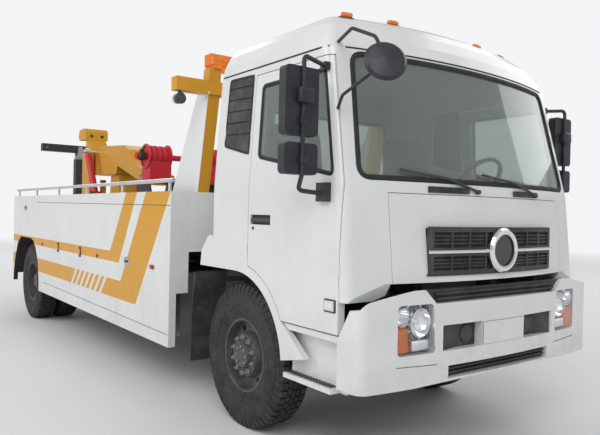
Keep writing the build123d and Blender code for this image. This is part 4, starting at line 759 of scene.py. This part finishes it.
# Wheel nuts and hub bolts
def hex_mesh(radius, height, bolt=0.0):
    """A nut standing along Z, with the stud's end in it."""
    work = bmesh.new()
    bmesh.ops.create_cone(work, cap_ends=True, segments=6, radius1=radius, radius2=radius, depth=height,
                          matrix=Matrix.Translation((0, 0, height / 2)))
    bmesh.ops.bevel(work, geom=list(work.edges), offset=radius * 0.1, segments=1, affect="EDGES")
    if bolt:
        bmesh.ops.create_cone(work, cap_ends=True, segments=10, radius1=radius * 0.5, radius2=radius * 0.45,
                              depth=bolt, matrix=Matrix.Translation((0, 0, height + bolt / 2 - 0.001)))
    return written(work, bpy.data.meshes.new("nut"))


for _, wheel, y, _, nut_ring, bolt_ring in WHEELS:
    for side, word in SIDES:
        rings = []
        for mesh, count, (x, radius) in ((hex_mesh(0.0165, 0.022, 0.014), 10, nut_ring),
                                         (hex_mesh(0.009, 0.008), 8, bolt_ring)):
            place = facing_x((side * x, y, TYRE_RADIUS), side)
            rings.append(repeated(RING, mesh, "nut_steel", place, Count=count, Radius=radius))
        joined(f"{word}_{wheel}_nuts", rings, "nut_steel", f"{word}_{wheel}", 30)


# Rubber seals round the glass and the vents
def seal(name, corners, corner_radius, node, look, body, radius, lift):
    places, ups = lay(traced(corners, corner_radius, 8), skin(node), look, lift)
    joined(name, [tube_mesh(places, radius, 8, True, 0.4, ups)], "black_rubber", body, 50)


seal("windscreen_seal", [(-1.032, 1.746), (1.032, 1.746), (0.965, 2.480), (-0.965, 2.480)], 0.075,
     "cab_windows", FROM_FRONT, "truck", 0.017, 0.006)
seal("rear_window_seal", oblong((-0.612, 0.612), (1.788, 2.332)), 0.04, "cab_windows", FROM_BEHIND_CAB,
     "truck", 0.014, 0.006)
for side, word in SIDES:
    seal(f"door_{word}_seal", [(-1.108, 1.757), (-0.330, 1.901), (-0.325, 2.375), (-0.974, 2.375)], 0.035,
         f"door_glass_{word}", from_side(side), f"{word}_door", 0.013, 0.005)
    seal(f"vent_{word}_seal", [(-0.200, 1.932), (0.123, 2.005), (0.105, 2.474), (-0.200, 2.464)], 0.03,
         "quarter_vents", from_side(side), "truck", 0.009, 0.0)

# Dark gutter line round the cab under the roof
GUTTER_Z = 2.512
cab_skin = skin("cab_shell", "door_left", "door_right", "cab_roof")
runs = [([k / 20 for k in range(-20, 21)], FROM_FRONT)]
runs += [([-0.98 + k * 0.08 for k in range(16)], from_side(side)) for side in (-1, 1)]
line = []
for run, look in runs:
    places, ups = lay([(u, GUTTER_Z) for u in run], cab_skin, look, 0.001)
    line.append(tube_mesh(places, 0.006, 6, False, 0.6, ups))
joined("roof_gutter_line", line, "black_rubber", "truck", 50)

# Bows of the front faces: how far they fall back at their ends, and half their width
GRILLE_BOW = (0.042, 0.616)
RIM_BOW = (0.052, 0.616)
CAB_BOW = (0.168, 1.15)


def bowed(mesh, bow):
    """A mesh bent back towards its ends, as the front faces are."""
    for v in mesh.vertices:
        v.co.y += bow[0] * (v.co.x / bow[1]) ** 2
    return mesh


def cut_across(mesh, reach, cuts, fill):
    """Cuts the edges that run further than a reach along X, so that the mesh can bend."""
    work = bmesh.new()
    work.from_mesh(mesh)
    long = [e for e in work.edges if abs(e.verts[0].co.x - e.verts[1].co.x) > reach]
    bmesh.ops.subdivide_edges(work, edges=long, cuts=cuts, use_grid_fill=fill)
    return written(work, mesh)


def strip_mesh(x, back, z, depth, edge, bow, cuts=14):
    """A bowed strip on a front face, rounded at its edges."""
    mesh = block_mesh((x[0], FRONT_AXLE + back - depth, z[0]), (x[1], FRONT_AXLE + back, z[1]), edge)
    return bowed(cut_across(mesh, (x[1] - x[0]) * 0.5, cuts, True), bow)


# Mesh behind the upper grille, its bright bar and rim
WIRE = 0.0018
fins = repeated(ROW, block_mesh((-WIRE, FRONT_AXLE - 1.397, 1.216), (WIRE, FRONT_AXLE - 1.386, 1.446)),
                "trim_plastic", Count=95, Start=(-0.592, 0, 0), Step=(0.0126, 0, 0))
rows = repeated(ROW, block_mesh((-0.596, FRONT_AXLE - 1.395, -WIRE), (0.596, FRONT_AXLE - 1.388, WIRE)),
                "trim_plastic", Count=17, Start=(0, 0, 1.222), Step=(0, 0, 0.0135))
joined("grille_mesh", [bowed(fins, GRILLE_BOW), bowed(cut_across(rows, 0.5, 11, False), GRILLE_BOW)],
       "trim_plastic", "truck")
bars = [strip_mesh(x, -1.4105, (1.318, 1.338), 0.008, 0.003, GRILLE_BOW)
        for x in ((-0.63, -0.12), (0.12, 0.63))]
joined("grille_bar", bars, "bright_chrome", "truck", 40)
rim = [strip_mesh((-0.628, 0.628), -1.405, (z, z + 0.012), 0.008, 0.003, RIM_BOW) for z in (1.186, 1.463)]
joined("grille_rim", rim, "trim_plastic", "truck", 40)

# Slotted covers over the wiper pivots
COVERS = [(-0.585, -0.250), (0.200, 0.520)]
covers = [strip_mesh(x, -1.352, (1.674, 1.712), 0.010, 0.004, CAB_BOW, 6) for x in COVERS]
covers += [strip_mesh((low + 0.02, high - 0.02), -1.361, (z, z + 0.004), 0.004, 0.001, CAB_BOW, 6)
           for low, high in COVERS for z in (1.681, 1.691, 1.701)]
joined("wiper_covers", covers, "trim_plastic", "truck", 40)

# Headlamps: clear cover on the bumper's face, dark walls, two bright bowls and an amber lamp
BUMPER_REACH = 1.445
BUMPER_BOW = 0.085
BUMPER_HALF = 1.145
LAMP = [(0.635, 1.037), (0.896, 1.037), (0.896, 0.758), (0.613, 0.758)]
LAMP_CORNER = 0.03


def bumper_y(x, inset=0.0):
    """The Y of the bumper's bowed face at an X, or of a place behind it."""
    return FRONT_AXLE + (BUMPER_BOW * (x / BUMPER_HALF) ** 2 - BUMPER_REACH) + inset


def on_bumper(outline, inset=0.0):
    return [(q.x, bumper_y(q.x, inset), q.y) for q in outline]


def cover_mesh(corners, radius, inset, thick):
    """A closed plate that follows the bumper's bowed face inside an outline."""
    outline = traced(corners, radius)
    n = len(outline)
    middle = sum(outline, Vector((0, 0))) / n
    points, faces = [], []
    for depth in (0, thick):
        for share in (1.0, 0.6, 0.25):
            points += on_bumper([middle.lerp(q, share) for q in outline], inset + depth)
        points += on_bumper([middle], inset + depth)
    half = 3 * n + 1
    for base in (0, half):
        faces += band(base, base + n, n) + band(base + n, base + 2 * n, n)
        faces += [(base + 2 * n + k, base + 2 * n + (k + 1) % n, base + 3 * n) for k in range(n)]
    return mesh_from("cover", points, faces + band(0, half, n))


both("headlamp_covers", [cover_mesh(LAMP, LAMP_CORNER, 0.004, 0.004)], "lamp_cover", "truck", 35)
housing = cover_mesh(LAMP, LAMP_CORNER, 0.085, 0.02)
walls = tube_mesh(on_bumper(traced(LAMP, LAMP_CORNER), 0.05), 0.004, 6, True)
bowls = []
for x, z, radius in ((0.709, 0.930, 0.077), (0.842, 0.968, 0.046)):
    bowls.append(lathe_mesh([(0.0, radius), (-0.018, radius * 0.93), (-0.040, radius * 0.72),
                             (-0.054, radius * 0.42), (-0.058, 0.02), (-0.035, 0.016), (-0.028, 0.0),
                             (-0.062, 0.0), (-0.062, radius * 0.5), (-0.044, radius * 0.85),
                             (0.0, radius + 0.006)], (x, bumper_y(x, 0.022), z), FORWARD, 40))
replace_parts(both("headlamp_housings", [housing], "lamp_facets", "truck", 35), "headlamps")
both("headlamp_walls", [walls], "lamp_dark", "truck", 35)
both("headlamp_bowls", bowls, "lamp_reflector", "truck", 35)
amber = block_mesh((0.793, bumper_y(0.84, 0.022), 0.766), (0.890, bumper_y(0.84, 0.075), 0.906), 0.014, 3)
bulb = lathe_mesh([(0.0, 0.0), (0.008, 0.012), (0.004, 0.030), (-0.004, 0.036), (-0.020, 0.036),
                   (-0.020, 0.0)], (0.842, bumper_y(0.84, 0.022), 0.838), FORWARD, 28)
low_lamp = block_mesh((0.628, bumper_y(0.70, 0.020), 0.772), (0.778, bumper_y(0.70, 0.060), 0.836), 0.012, 3)
both("headlamp_indicators", [amber, bulb], "lamp_amber", "truck", 35)
both("headlamp_position_lamps", [low_lamp], "lamp_reflector", "truck", 35)

# Fog lamps in the bumper's pockets, the blank plate between them, and dark lines along the creases beside
# it, which are painted shade
LINE_RADIUS = 0.0022
PLATE = [(0.208, 0.900), (0.208, 0.765), (-0.208, 0.765), (-0.208, 0.900)]
PLATE_CORNER = 0.012
fog = lathe_mesh([(0.0, 0.0), (0.0, 0.050), (-0.006, 0.056), (-0.028, 0.058), (-0.028, 0.0)],
                 (0.305, FRONT_AXLE - 1.396, 0.832), FORWARD, 32)
both("fog_lamps", [fog], "fog_glass", "truck", 35)
joined("blank_plate", [cover_mesh(PLATE, PLATE_CORNER, -0.004, 0.004)], "body_white", "truck", 35)
joined("blank_plate_edge", [tube_mesh(on_bumper(traced(PLATE, PLATE_CORNER)), LINE_RADIUS, 6, True)],
       "seam_dark", "truck", 50)
# Dark lines along the bumper's creases: painted shade in the creases
crease_shade = [(0.60 + 0.03 * k, bumper_y(0.60 + 0.03 * k), 0.687 + 0.0012 * k) for k in range(11)]
both("bumper_creases", [tube_mesh(crease_shade, LINE_RADIUS, 6)], "seam_dark", "truck", 50)

# Door handles, locks and side turn lamps
for side, word in SIDES:
    grip = box((1.131, 1.158), (-0.492, -0.272), (1.470, 1.500), 0.012, 3)
    pan = side_plate(rounded(oblong((-0.500, -0.265), (1.456, 1.519)), 0.02), 1.128, 0.003)
    lock = lathe_mesh([(0.0, 0.0), (0.0, 0.011), (-0.012, 0.013), (-0.012, 0.0)], spot(1.153, -0.300, 1.430),
                      ALONG_X, 20)
    joined(f"door_{word}_handle", sided(side, grip, pan, lock), "trim_plastic", f"{word}_door", 40)
    bezel = box((1.146, 1.156), (-1.163, -1.062), (0.985, 1.060), 0.006, 2)
    joined(f"door_{word}_lamp_rim", sided(side, bezel), "trim_plastic", f"{word}_door", 40)
    glass = box((1.148, 1.162), (-1.155, -1.070), (0.993, 1.052), 0.008, 3)
    joined(f"door_{word}_turn_lamp", sided(side, glass), "lamp_clear", f"{word}_door", 40)

# Ribbed treads on the lower steps
rib = box((0.850, 1.120), (-0.008, 0.008), (0.5505, 0.556), 0.002, 1)
treads = repeated(ROW, rib, "trim_plastic", Count=15, Start=(0, -1.085, 0), Step=(0, 0.029, 0))
both("step_treads", [treads], "trim_plastic", "truck")

# Small marker lamps along the roof's front edge, on dark feet
ROOF_LAMPS = ((0.80, -0.79), (0.44, -0.84))
roof_skin = skin("cab_roof")
# Columns: name, finish, corners and edge of the block
for name, finish, low, high, edge in (
        ("roof_lamp_feet", "trim_plastic", (-0.045, -0.028, -0.012), (0.045, 0.028, 0.005), 0.003),
        ("roof_lamps", "lamp_amber", (-0.038, -0.024, 0.003), (0.038, 0.024, 0.033), 0.014)):
    meshes = []
    for x, back in ROOF_LAMPS:
        for side in (-1, 1):
            place, normal, _, _ = roof_skin.ray_cast(spot(side * x, back, 4), Vector((0, 0, -1)))
            mesh = block_mesh(low, high, edge, 3)
            mesh.transform(Matrix.Translation(place) @ normal.to_track_quat("Z", "Y").to_matrix().to_4x4())
            meshes.append(mesh)
    joined(name, meshes, finish, "truck", 40)

# Body sides: locker seams, latches and side marker lamps
BODY_FACE = 1.2345
SEAM_WIDTH = 0.005
seams, latches, handles, side_lamps = [], [], [], []
# The upper strip, at the doors' tops, is both a seam and a painted shadow line; the lower one is a seam
for start, low, end, high in ((0.80, 1.572, 4.90, 1.597), (0.80, 0.534, 4.55, 0.569)):
    seams.append(side_plate([(start, low), (end, high), (end, high + SEAM_WIDTH), (start, low + SEAM_WIDTH)],
                            BODY_FACE, 0.0012))
for back, z in ((5.53, 1.52), (1.70, 1.059)):
    plate = rounded(oblong(around(back, 0.055), around(z, 0.04)), 0.015)
    latches.append(side_plate(plate, BODY_FACE, 0.004, 0.001))
    handles.append(box((1.237, 1.247), around(back, 0.040), around(z, 0.010), 0.005, 2))
for back, z in ((3.905, 1.058), (3.067, 1.058)):
    handles.append(box((1.234, 1.240), around(back, 0.034), around(z, 0.056), 0.003, 2))
    side_lamps.append(box((1.236, 1.248), around(back, 0.022), around(z, 0.030), 0.006, 3))
for back, z in ((4.62, 1.058), (2.504, 1.054)):
    handles.append(lathe_mesh([(0.0, 0.0), (0.0, 0.016), (-0.006, 0.019), (-0.010, 0.019), (-0.010, 0.0)],
                              spot(1.243, back, z), ALONG_X, 20))
red_lamp = box((1.234, 1.250), (1.090, 1.160), (1.038, 1.072), 0.007, 3)
both("body_seams", seams, "seam_dark", "truck")
both("body_latch_plates", latches, "bright_steel", "truck", 40)
both("body_latch_handles", handles, "trim_plastic", "truck", 40)
both("side_marker_lamps", side_lamps, "lamp_amber", "truck", 40)
both("side_red_lamps", [red_lamp], "lamp_red", "truck", 40)

# Black rubber round the rear wheel arches' edges, a dark lining deep inside the arches that is painted
# shade, and flaps behind the wheels
ARCH = [(4.770, 0.438), (4.775, 0.560), (4.830, 0.800), (4.960, 0.990), (5.090, 1.085), (5.230, 1.110),
        (5.800, 1.110), (5.980, 1.010), (6.110, 0.820), (6.205, 0.600), (6.223, 0.438)]
ARCH_MIDDLE = Vector((5.42, 0.60))
TRIM_X = 1.2340
points, faces = [], []
for back, z in ARCH:
    out = Vector((back, z))
    inward = (ARCH_MIDDLE - out).normalized()
    inner = out + inward * 0.009
    out += inward * 0.001
    # Past the edge the black lining runs deep into the arch as painted shade on its inner walls
    deep = 1.0725 if z > 0.9 else 1.1765
    points += [spot(TRIM_X, *out), spot(deep, *out), spot(deep, *inner), spot(TRIM_X, *inner)]
for i in range(len(ARCH) - 1):
    faces += band(4 * i, 4 * i + 4, 4)
faces += [(0, 1, 2, 3), tuple(len(points) - 4 + k for k in (3, 2, 1, 0))]
both("arch_trims", [mesh_from("lining", points, faces)], "black_rubber", "truck", 40)
flap = side_plate([(5.800, 1.104), (5.965, 0.995), (6.160, 0.550), (6.153, 0.550), (5.960, 0.988),
                   (5.800, 1.096)], 0.66, 0.568)
bracket = box((0.431, 0.700), (5.975, 6.005), (0.935, 0.975), 0.004, 1)
both("rear_flaps", [flap], "black_rubber", "truck", 40)
both("rear_flap_brackets", [bracket], "frame_black", "truck", 40)

# Rear lamp clusters: red, amber and clear fields in dark rims
fields = {"lamp_red": [], "lamp_amber": [], "lamp_clear": []}
for low, high, finish in ((0.912, 0.985, "lamp_red"), (0.992, 1.065, "lamp_amber"),
                          (1.072, 1.110, "lamp_clear"), (1.117, 1.150, "lamp_red")):
    fields[finish].append(box((1.098, 1.207), (6.288, 6.304), (low, high), 0.006, 2))
for finish, meshes in fields.items():
    both("rear_" + finish + "_fields", meshes, finish, "truck", 40)

# Beacon bar: dark joints and end caps, feet under it, and vent slots in the middle box
caps = [box(around(x, 0.006), (0.598, 0.772), (2.712, 2.7515), 0.003, 1) for x in (0.540, 0.760)]
caps += [box(around(x, 0.05), (0.63, 0.74), (2.7115, 2.735), 0.006, 2) for x in (0.30, 0.50)]
both("beacon_joints", caps, "trim_plastic", "truck", 40)
vents = repeated(ROW, block_mesh((-0.002, FRONT_AXLE + 0.612, 2.725), (0.002, FRONT_AXLE + 0.616, 2.772)),
                 "trim_plastic", Count=25, Start=(-0.18, 0, 0), Step=(0.015, 0, 0))
joined("beacon_vents", [vents], "trim_plastic", "truck")

# Faces of the work lamps
lamp_face = lathe_mesh([(0.0, 0.0), (0.0, 0.036), (-0.004, 0.039), (-0.010, 0.039), (-0.010, 0.0)],
                       spot(1.240, 0.7135, 2.410), BACKWARD, 32)
both("work_lamp_faces", [lamp_face], "lamp_clear", "truck", 40)

# Heads of the pins of the boom, rams and underlift
# Columns: name, body, X, distance back, Z, radius
PINS = [("boom_pivot", "truck", 0.211, 3.860, 1.930, 0.046),
        ("ram_foot", "truck", 0.3955, 5.300, 1.745, 0.030),
        ("ram_eye", "ram_rods", 0.381, 5.685, 2.395, 0.030),
        ("fold_hinge", "lift_carriage", 0.1255, 7.200, 0.750, 0.034)]
for word, carrier, x, back, z, radius in PINS:
    head = lathe_mesh([(0.0, 0.0), (0.0, radius - 0.006), (-0.005, radius), (-0.012, radius), (-0.012, 0.0)],
                      spot(x + 0.010, back, z), ALONG_X, 28)
    nut = hex_mesh(radius * 0.42, 0.008)
    nut.transform(facing_x(spot(x + 0.009, back, z), 1))
    both(word + "_pin_heads", [head, nut], "bright_steel", carrier, 35)

# Cable openings in the boom's head, and the winches' flanges, bolts and motors
mouths = [lathe_mesh([(0.0, 0.0), (0.0, 0.015), (0.004, 0.018), (0.004, 0.025), (-0.004, 0.025),
                      (-0.004, 0.0)], spot(x, 6.2795, 2.705), FORWARD, 28) for x in (-0.085, 0.085)]
joined("boom_head_cable_mouths", mouths, "trim_plastic", "inner_boom", 40)
WINCH_SHAFT = (3.160, 2.165)
flanges = [lathe_mesh([(0.0, 0.118), (0.0, 0.146), (0.003, 0.150), (0.011, 0.150), (0.014, 0.146),
                       (0.014, 0.118)], spot(x, *WINCH_SHAFT), ALONG_X, 48) for x in (0.184, 0.458)]
motor = lathe_mesh([(0.0, 0.0), (0.0, 0.046), (0.010, 0.052), (0.070, 0.052), (0.078, 0.044), (0.078, 0.0)],
                   spot(0.474, *WINCH_SHAFT), ALONG_X, 32)
port = box((0.486, 0.530), (3.135, 3.185), (2.205, 2.250), 0.006, 2)
both("winch_flanges", flanges, "winch_red", "truck", 40)
both("winch_motors", [motor, port], "trim_plastic", "truck", 40)
heads = repeated(RING, hex_mesh(0.007, 0.006), "nut_steel", facing_x(spot(0.4725, *WINCH_SHAFT)), Count=10,
                 Radius=0.134)
both("winch_flange_bolts", [heads], "nut_steel", "truck", 30)

# Bolts on the feet of the boom's and the winches' mounts
# Columns: name, bolts in a row, places of the rows' first bolts
for name, count, starts in (("boom_bed_bolts", 6, [(0.395, 3.65, 1.682), (0.395, 4.60, 1.682)]),
                            ("winch_bed_bolts", 3, [(0.470, 2.98, 1.6915)])):
    heads = [repeated(ROW, hex_mesh(0.014, 0.012), "bright_steel", Count=count, Start=tuple(spot(*start)),
                      Step=(0, 0.15, 0)) for start in starts]
    both(name, heads, "nut_steel", "truck", 30)

# Seats: crowned cushions with sewn channels on boxed bases
CUSHION_RINGS = 26
CUSHION_SIDES = 64
CUSHION_WAIST = 0.03
SEWN_X = (-0.13, 0.13)
SEWN_DEPTH = 0.008
SEWN_WIDTH = 0.007


def soft(value, power):
    """A value from -1 to 1, drawn towards its ends."""
    return math.copysign(abs(value) ** power, value)


def crowned_mesh(centre, half, crown, lean):
    """A cushion: a closed form with soft corners, a crown on its top and grooves where it is sewn."""
    points, faces = [], []
    for i in range(1, CUSHION_RINGS):
        rise = math.pi * i / CUSHION_RINGS - math.pi / 2
        for k in range(CUSHION_SIDES):
            turn = 2 * math.pi * k / CUSHION_SIDES
            u = soft(math.cos(rise), 0.32) * soft(math.cos(turn), 0.30)
            v = soft(math.cos(rise), 0.32) * soft(math.sin(turn), 0.30)
            w = soft(math.sin(rise), 0.55)
            x = u * half[0] * (1 - CUSHION_WAIST * (1 - v * v) * (1 - w * w))
            y = v * half[1] * (1 - CUSHION_WAIST * (1 - u * u))
            z = w * half[2]
            if w > 0:
                z += crown * (1 - u * u) * (1 - v * v)
                grooves = sum(SEWN_DEPTH * math.exp(-((x - c) / SEWN_WIDTH) ** 2) for c in SEWN_X)
                z -= grooves * min(1, 3 * (1 - v * v))
            points.append((x, y, z))
    low, high = len(points), len(points) + 1
    points += [(0, 0, -half[2]), (0, 0, half[2] + crown)]
    for i in range(CUSHION_RINGS - 2):
        faces += band(i * CUSHION_SIDES, (i + 1) * CUSHION_SIDES, CUSHION_SIDES)
    last = (CUSHION_RINGS - 2) * CUSHION_SIDES
    for k in range(CUSHION_SIDES):
        m = (k + 1) % CUSHION_SIDES
        faces += [(m, k, low), (last + k, last + m, high)]
    mesh = mesh_from("cushion", points, faces)
    mesh.transform(Matrix.Translation(centre) @ Matrix.Rotation(lean, 4, "X"))
    return mesh


bases, rims = [], []
for x, word in ((-0.62, "right"), (0.54, "left")):
    # Columns: name, middle, half sizes, crown, lean
    pads = [(f"seat_{word}_cushion", spot(x, -0.320, 1.486), (0.25, 0.26, 0.058), 0.016, 0.0),
            (f"seat_{word}_backrest", spot(x, -0.055, 1.865), (0.235, 0.33, 0.055), 0.014, math.radians(82))]
    for name, centre, half, crown, lean in pads:
        pad = joined(name, [crowned_mesh(centre, half, crown, lean)], "seat_cloth", "truck", 60)
    bases.append(box(around(x, 0.24), (-0.56, -0.08), (1.2303, 1.43), 0.015, 3))
    rims.append(box(around(x, 0.245), (-0.57, -0.07), (1.418, 1.440), 0.006, 2))
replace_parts(joined("seat_bases", bases, "lamp_dark", "truck", 40), "seats")
joined("seat_base_rims", rims, "trim_plastic", "truck", 40)

# Mirror glass facing the driver, and a clamp on each mirror's tube
for side, word in SIDES:
    panes = [box((1.220, 1.420), (-0.981, -0.978), (low + 0.014, high - 0.014), 0.0012, 1)
             for low, high in ((1.965, 2.345), (1.750, 1.925))]
    joined(f"mirror_{word}_glass", sided(side, *panes), "mirror_glass", f"{word}_door", 40)
    clamp = box((1.270, 1.366), (-1.090, -1.040), (2.140, 2.224), 0.012, 3)
    joined(f"mirror_{word}_clamp", sided(side, clamp), "mirror_plastic", f"{word}_door", 40)


# Floor, world and lamps
BACKDROP = (0.90, 0.91, 0.92)
FLOOR_HALF = 60
# Distances from the middle at which the floor starts and ends its change to the backdrop
FADE = (8.0, 26.0)
# Columns: name, place, what it faces, size, power
LAMPS = [("key_lamp", (-9, -12, 11), (0, -1, 1), 9, 900), ("side_lamp", (-13, 3, 8), (0, 0, 1), 9, 650),
         ("far_lamp", (12, -3, 9), (0, 0, 1), 10, 450), ("back_lamp", (3, 14, 9), (0, 2, 1), 9, 450)]


def floor_under_all():
    """A pale floor that fades into the backdrop."""
    span = (-FLOOR_HALF, FLOOR_HALF)
    mesh = mesh_from("floor", [(x, y, 0) for x, y in oblong(span, span)], [(0, 1, 2, 3)])
    floor = bpy.data.objects.new("floor", mesh)
    bpy.context.collection.objects.link(floor)
    s = Shader("floor_paint")
    s.set(Base_Color=s.mix(s.noise(0.8, 4), (0.80, 0.80, 0.80), (0.76, 0.76, 0.76)), Roughness=0.9)
    x, y, _ = s.axes()
    far = s.node("Emission", {"Color": BACKDROP, "Strength": 1.0})
    away = s.spread(s.reach(x, y), *FADE)
    fade = s.node("MixShader", {0: away, 1: s.surface.outputs[0], 2: far.outputs[0]})
    s.tree.links.new(fade.outputs[0], s.tree.nodes["Material Output"].inputs[0])
    mesh.materials.append(s.material)


def studio_world():
    """A soft sky that lights the truck, with the backdrop's colour where it is seen."""
    world = bpy.data.worlds.new("studio")
    bpy.context.scene.world = world
    world.use_nodes = True
    tree = world.node_tree
    add, link = tree.nodes.new, tree.links.new
    backdrop = tree.nodes["Background"]
    backdrop.inputs[0].default_value = (0.86, 0.88, 0.90, 1)
    backdrop.inputs[1].default_value = 0.55
    seen = add("ShaderNodeBackground")
    seen.inputs[0].default_value = (*BACKDROP, 1)
    seen.inputs[1].default_value = 1.0
    path, either, join = add("ShaderNodeLightPath"), add("ShaderNodeMath"), add("ShaderNodeMixShader")
    either.operation = "MAXIMUM"
    link(path.outputs["Is Camera Ray"], either.inputs[0])
    link(path.outputs["Is Transmission Ray"], either.inputs[1])
    link(either.outputs[0], join.inputs[0])
    link(backdrop.outputs[0], join.inputs[1])
    link(seen.outputs[0], join.inputs[2])
    link(join.outputs[0], tree.nodes["World Output"].inputs[0])


floor_under_all()
studio_world()
for name, place, aim, size, power in LAMPS:
    lamp = bpy.data.objects.new(name, bpy.data.lights.new(name, "AREA"))
    lamp.data.size = size
    lamp.data.energy = power
    lamp.location = place
    lamp.rotation_euler = (Vector(aim) - Vector(place)).to_track_quat("-Z", "Y").to_euler()
    bpy.context.collection.objects.link(lamp)

bpy.context.scene.view_settings.view_transform = "Standard"
